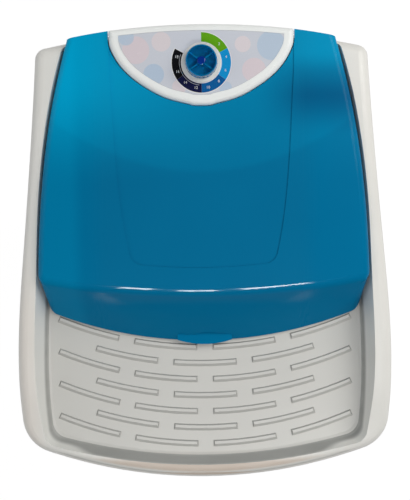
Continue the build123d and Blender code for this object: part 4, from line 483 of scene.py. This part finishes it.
# %% Metals and rubber
def metal(name, colour, gloss, streak):
    """Metal with fine tool marks; streak stretches them along Z."""
    finish = Finish(name, Metallic=1.0)
    place = finish.place()
    marks = finish.noise(finish.stretched(place, 900.0, 900.0, 900.0 / streak), 1.0)
    cloud = finish.noise(place, 40.0, 3.0)
    finish.feed("Base Color", finish.mix(cloud.step(0.4, 0.8), colour, darker(colour, 0.82)))
    finish.feed("Roughness", gloss + marks * 0.12 + cloud * 0.08)
    finish.bump(marks, 0.00001)
    return finish.material


def rubber(name, colour):
    """Matt black rubber with a bloom of grey dust."""
    finish = Finish(name, IOR=1.5, Specular_IOR_Level=0.3)
    place = finish.place()
    bloom = finish.noise(place, 60.0, 4.0)
    finish.feed("Base Color", finish.mix(bloom.step(0.45, 0.8), colour, darker(colour, 2.2)))
    finish.feed("Roughness", 0.62 + bloom * 0.2)
    finish.bump(finish.noise(place, 900.0), 0.00003)
    return finish.material


# %% Laminations and net
VARNISH = (0.17, 0.15, 0.13)
SEAM_DARK = (0.05, 0.045, 0.04)
NET_LIGHT = (0.78, 0.79, 0.77)
NET_DARK = (0.62, 0.64, 0.63)


def laminated():
    """Stack of varnished steel sheets, 0.5 mm each."""
    finish = Finish("laminated_core", Metallic=0.7)
    place = finish.place()
    sheet = (finish.split(place)[2] * 2000.0).math("FRACT")
    seam = sheet.band(0.0, 0.16, 0.02)
    tone = finish.noise(place, 50.0, 3.0)
    finish.feed("Base Color", finish.mix(seam, VARNISH, SEAM_DARK))
    finish.feed("Roughness", 0.38 + tone * 0.2)
    finish.bump(1 - seam, 0.00008)
    return finish.material


def woven_net():
    """Fine net: threads 1 mm apart in both directions, open between them."""
    finish = Finish("woven_net", Specular_IOR_Level=0.25)
    place = finish.place()
    x, y, z = finish.split(place)
    up = (z * 1000.0).math("FRACT").band(0.3, 0.7, 0.06)
    along = (y * 1000.0).math("FRACT").band(0.3, 0.7, 0.06)
    thread = up.math("MAXIMUM", along)
    finish.feed("Base Color", finish.mix(finish.noise(place, 200.0), NET_LIGHT, NET_DARK))
    finish.feed("Alpha", 0.25 + thread * 0.75)
    finish.feed("Roughness", 0.7 + thread * 0.1)
    return finish.material


# %% A finish for every node
finishes = {
    "white_plastic": white_moulding,
    "blue_plastic": blue_plastic,
    "overlay_film": overlay,
    "clear_blue": knob_blue,
    "dark_plastic": moulded("black_moulding", (0.012, 0.012, 0.013), gloss=0.45),
    "grey_plastic": moulded("grey_moulding", (0.13, 0.135, 0.14), gloss=0.42),
    "tub_plastic": tub_white,
    "pale_blue_plastic": moulded("pale_blue_moulding", from_srgb(150, 190, 218), gloss=0.3),
    "capacitor_can": moulded("capacitor_can", from_srgb(205, 205, 198), gloss=0.4),
    "black_rubber": rubber("black_rubber", (0.018, 0.018, 0.018)),
    "steel": metal("plated_steel", (0.56, 0.56, 0.55), 0.24, 6.0),
    "painted_steel": moulded("black_paint", (0.02, 0.02, 0.021), gloss=0.36, peel=0.00005),
    "cast_aluminium": metal("cast_aluminium", (0.62, 0.62, 0.63), 0.38, 1.0),
    "bronze": metal("sintered_bronze", (0.55, 0.36, 0.17), 0.34, 1.0),
    "stator_iron": laminated(),
    "net_fabric": woven_net(),
}
own_finish = {
    "top_frame": washboard,
    "console_housing": moulded("console_white", from_srgb(248, 251, 250)),
}
slot_of = {entry["node"]: entry["material_slot"] for entry in frame["record"]["subparts"]}
for name, node in nodes.items():
    finish = own_finish.get(name, finishes[slot_of[name]])
    if not node.material_slots:
        node.data.materials.append(finish)
    for material_slot in node.material_slots:
        material_slot.material = finish
print("finishes on", len(nodes), "nodes")

# %% [markdown]
# ## Numbers on the dial
#
# The ring carries small plain numbers for the minutes. They are real letters from Blender's own
# font, laid flat on the print and a hair above it. A number is easier to read when it stands
# upright, so it isn't turned with the ring.

# %% Dial numbers
timer_axis = next(joint["axis"] for joint in frame["joints"] if joint["name"] == "timer_turn")
TILT = math.atan2(timer_axis[1], -timer_axis[2])
NUMBER_TURNS = [45, 78, 108, 137, 165, 193, 220, 250, 283]
MINUTES_PER_NUMBER = 2
NUMBER_REACH = RING_INNER + 0.0062
NUMBER_SIZE = 0.0048
NUMBER_THICKNESS = 0.00002
NUMBER_LIFT = 0.00006
overlay_low, overlay_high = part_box("panel_overlay")


def white_ink():
    finish = Finish("white_ink", IOR=1.5, Specular_IOR_Level=0.4)
    place = finish.place()
    uneven = finish.noise(place, 300.0)
    finish.feed("Base Color", finish.mix(uneven, (0.80, 0.81, 0.82), (0.72, 0.74, 0.76)))
    finish.feed("Roughness", 0.3 + finish.noise(place, 700.0) * 0.1)
    return finish.material


def panel_z(y):
    """Height of the print at one depth: the sheet rises towards the rear."""
    share = (y - overlay_low.y) / (overlay_high.y - overlay_low.y)
    rise = (overlay_high.y - overlay_low.y) * math.tan(TILT)
    return overlay_high.z - rise * (1 - share)


ink = white_ink()
for index, turn in enumerate(NUMBER_TURNS):
    text = bpy.data.curves.new(f"dial_number_{index}", "FONT")
    text.body = str(MINUTES_PER_NUMBER * (index + 1))
    text.size = NUMBER_SIZE
    text.align_x = "CENTER"
    text.align_y = "CENTER"
    text.extrude = NUMBER_THICKNESS
    text.materials.append(ink)
    number = bpy.data.objects.new(f"dial_number_{index}", text)
    x = DIAL.x + NUMBER_REACH * math.sin(math.radians(turn))
    y = DIAL.y + NUMBER_REACH * math.cos(math.radians(turn))
    number.location = (x, y, panel_z(y) + NUMBER_LIFT)
    number.rotation_euler = (TILT, 0, 0)
    bpy.context.scene.collection.objects.link(number)
    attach(number, "root")
print("numbers:", len(NUMBER_TURNS), "panel tilt", round(math.degrees(TILT), 2))

# %% [markdown]
# ## Floor, light and room
#
# The photo is a cut-out on white. A white floor would do, but a floor in full light clips, so the
# floor is white only to the camera, to glossy rays and through clear plastic, and keeps a faint
# shadow of the machine. For the light it is a plain pale grey. The room is dim overhead and
# ahead, and pale elsewhere, so a surface that faces up keeps its own colour. The light is one
# large soft lamp, overhead on the right, a weak one on the left, and three narrow windows in
# front, whose images lie along the lid's bend.

# %% Floor
FLOOR_HALF = 4.0
FLOOR_GLOW = 0.84
GLOW_STRENGTH = 1.14


def paper_floor():
    material = bpy.data.materials.new("paper_floor")
    material.use_nodes = True
    material.node_tree.nodes.clear()
    tree = Tree(material.node_tree)
    seen = tree.is_ray("Camera")
    for kind in ("Glossy", "Transmission"):
        seen = seen.math("MAXIMUM", tree.is_ray(kind))
    paper = tree.node("ShaderNodeBsdfDiffuse", {}, {"Color": (0.7, 0.7, 0.7)})
    white = {"Color": (1.0, 1.0, 1.0), "Strength": GLOW_STRENGTH}
    glow = tree.node("ShaderNodeEmission", {}, white)
    both = tree.node("ShaderNodeMixShader", {}, {0: seen * FLOOR_GLOW, 1: paper, 2: glow})
    tree.node("ShaderNodeOutputMaterial", {"name": "floor_output"}, {"Surface": both}, None)
    return material


corners = [(x * FLOOR_HALF, y * FLOOR_HALF, 0) for x, y in ((-1, -1), (1, -1), (1, 1), (-1, 1))]
floor_mesh = bpy.data.meshes.new("floor")
floor_mesh.from_pydata(corners, [], [(0, 1, 2, 3)])
floor_mesh.materials.append(paper_floor())
floor = bpy.data.objects.new("floor", floor_mesh)
bpy.context.scene.collection.objects.link(floor)
print("floor", 2 * FLOOR_HALF, "m wide")

# %% Room
ROOM_LIGHT = 0.235
CEILING = 0.03
FRONT = 0.10
world = bpy.data.worlds.new("pale_room")
bpy.context.scene.world = world
world.use_nodes = True
sky = Tree(world.node_tree)
direction = sky.split(sky.node("ShaderNodeTexCoord", {}, {}, "Generated"))
up = direction[2]
ahead = 0 - direction[1]
overhead_share = 1 - up.step(0.02, 0.55) * (1 - CEILING)
ahead_share = 1 - ahead.step(0.35, 0.85) * (1 - FRONT)
camera_ray = sky.is_ray("Camera")
mirrored = sky.is_ray("Glossy").math("MAXIMUM", sky.is_ray("Transmission"))
unseen = mirrored * (overhead_share * ahead_share) + (1 - mirrored) * ROOM_LIGHT
strength = camera_ray + (1 - camera_ray) * unseen
background = sky.tree.nodes["Background"]
background.inputs["Color"].default_value = (1.0, 1.0, 1.0, 1.0)
sky.tree.links.new(strength.socket, background.inputs["Strength"])
print("room light", ROOM_LIGHT, "ceiling in reflections", CEILING)

# %% Lamps
TOP_MIDDLE = (0.0, 0.0, 0.86)
WARM_LIGHT = (1.0, 0.985, 0.955)
COOL_LIGHT = (0.97, 0.99, 1.0)
PLAIN_LIGHT = (1.0, 1.0, 1.0)
WINDOW_Z = 2.15
WINDOW_HEIGHT = 0.16
WINDOWS = [(-0.335, -0.62, 0.16, 1.15), (-0.035, -0.74, 0.20, 1.5), (0.345, -0.60, 0.36, 2.7)]


def lamp(name, place, target, size, power, colour):
    """A flat rectangular lamp that looks at a point."""
    light = bpy.data.lights.new(name, "AREA")
    light.shape = "RECTANGLE"
    light.size, light.size_y = size
    light.energy = power
    light.color = colour
    holder = bpy.data.objects.new(name, light)
    holder.location = place
    toward = Vector(target) - Vector(place)
    holder.rotation_euler = toward.to_track_quat("-Z", "Y").to_euler()
    bpy.context.scene.collection.objects.link(holder)


lamp("key_right", (1.25, 0.75, 2.25), TOP_MIDDLE, (1.1, 1.3), 22.0, WARM_LIGHT)
lamp("fill_left", (-1.7, 0.25, 1.7), TOP_MIDDLE, (1.2, 1.4), 5.5, COOL_LIGHT)
for index, (x, y, width, power) in enumerate(WINDOWS):
    bend_point = (x * 0.4, -0.04, 0.88)
    size = (width, WINDOW_HEIGHT)
    lamp(f"window_{index}", (x, y, WINDOW_Z), bend_point, size, power, PLAIN_LIGHT)
print("lamps:", 2 + len(WINDOWS))

# %% [markdown]
# ## Camera
#
# The photo was taken from straight above, about a metre over the lid. At that distance the tray,
# which is lower, looks smaller than the lid, so the height matters as much as the direction. The
# lens follows from the machine's real width and its width in the picture.

# %% Camera above the lid
CAMERA_PLACE = (0.0017, 0.011, 1.830)
CAMERA_ROLL = -0.7
LENS = 54.1
camera_data = bpy.data.cameras.new("photo_camera")
camera_data.sensor_width = 36.0
camera_data.lens = LENS
camera_data.clip_start = 0.01
camera = bpy.data.objects.new("photo_camera", camera_data)
camera.location = CAMERA_PLACE
camera.rotation_euler = (0.0, 0.0, math.radians(CAMERA_ROLL))
bpy.context.scene.collection.objects.link(camera)
bpy.context.scene.camera = camera
bpy.context.scene.view_settings.view_transform = "Standard"
print("camera at", CAMERA_PLACE)
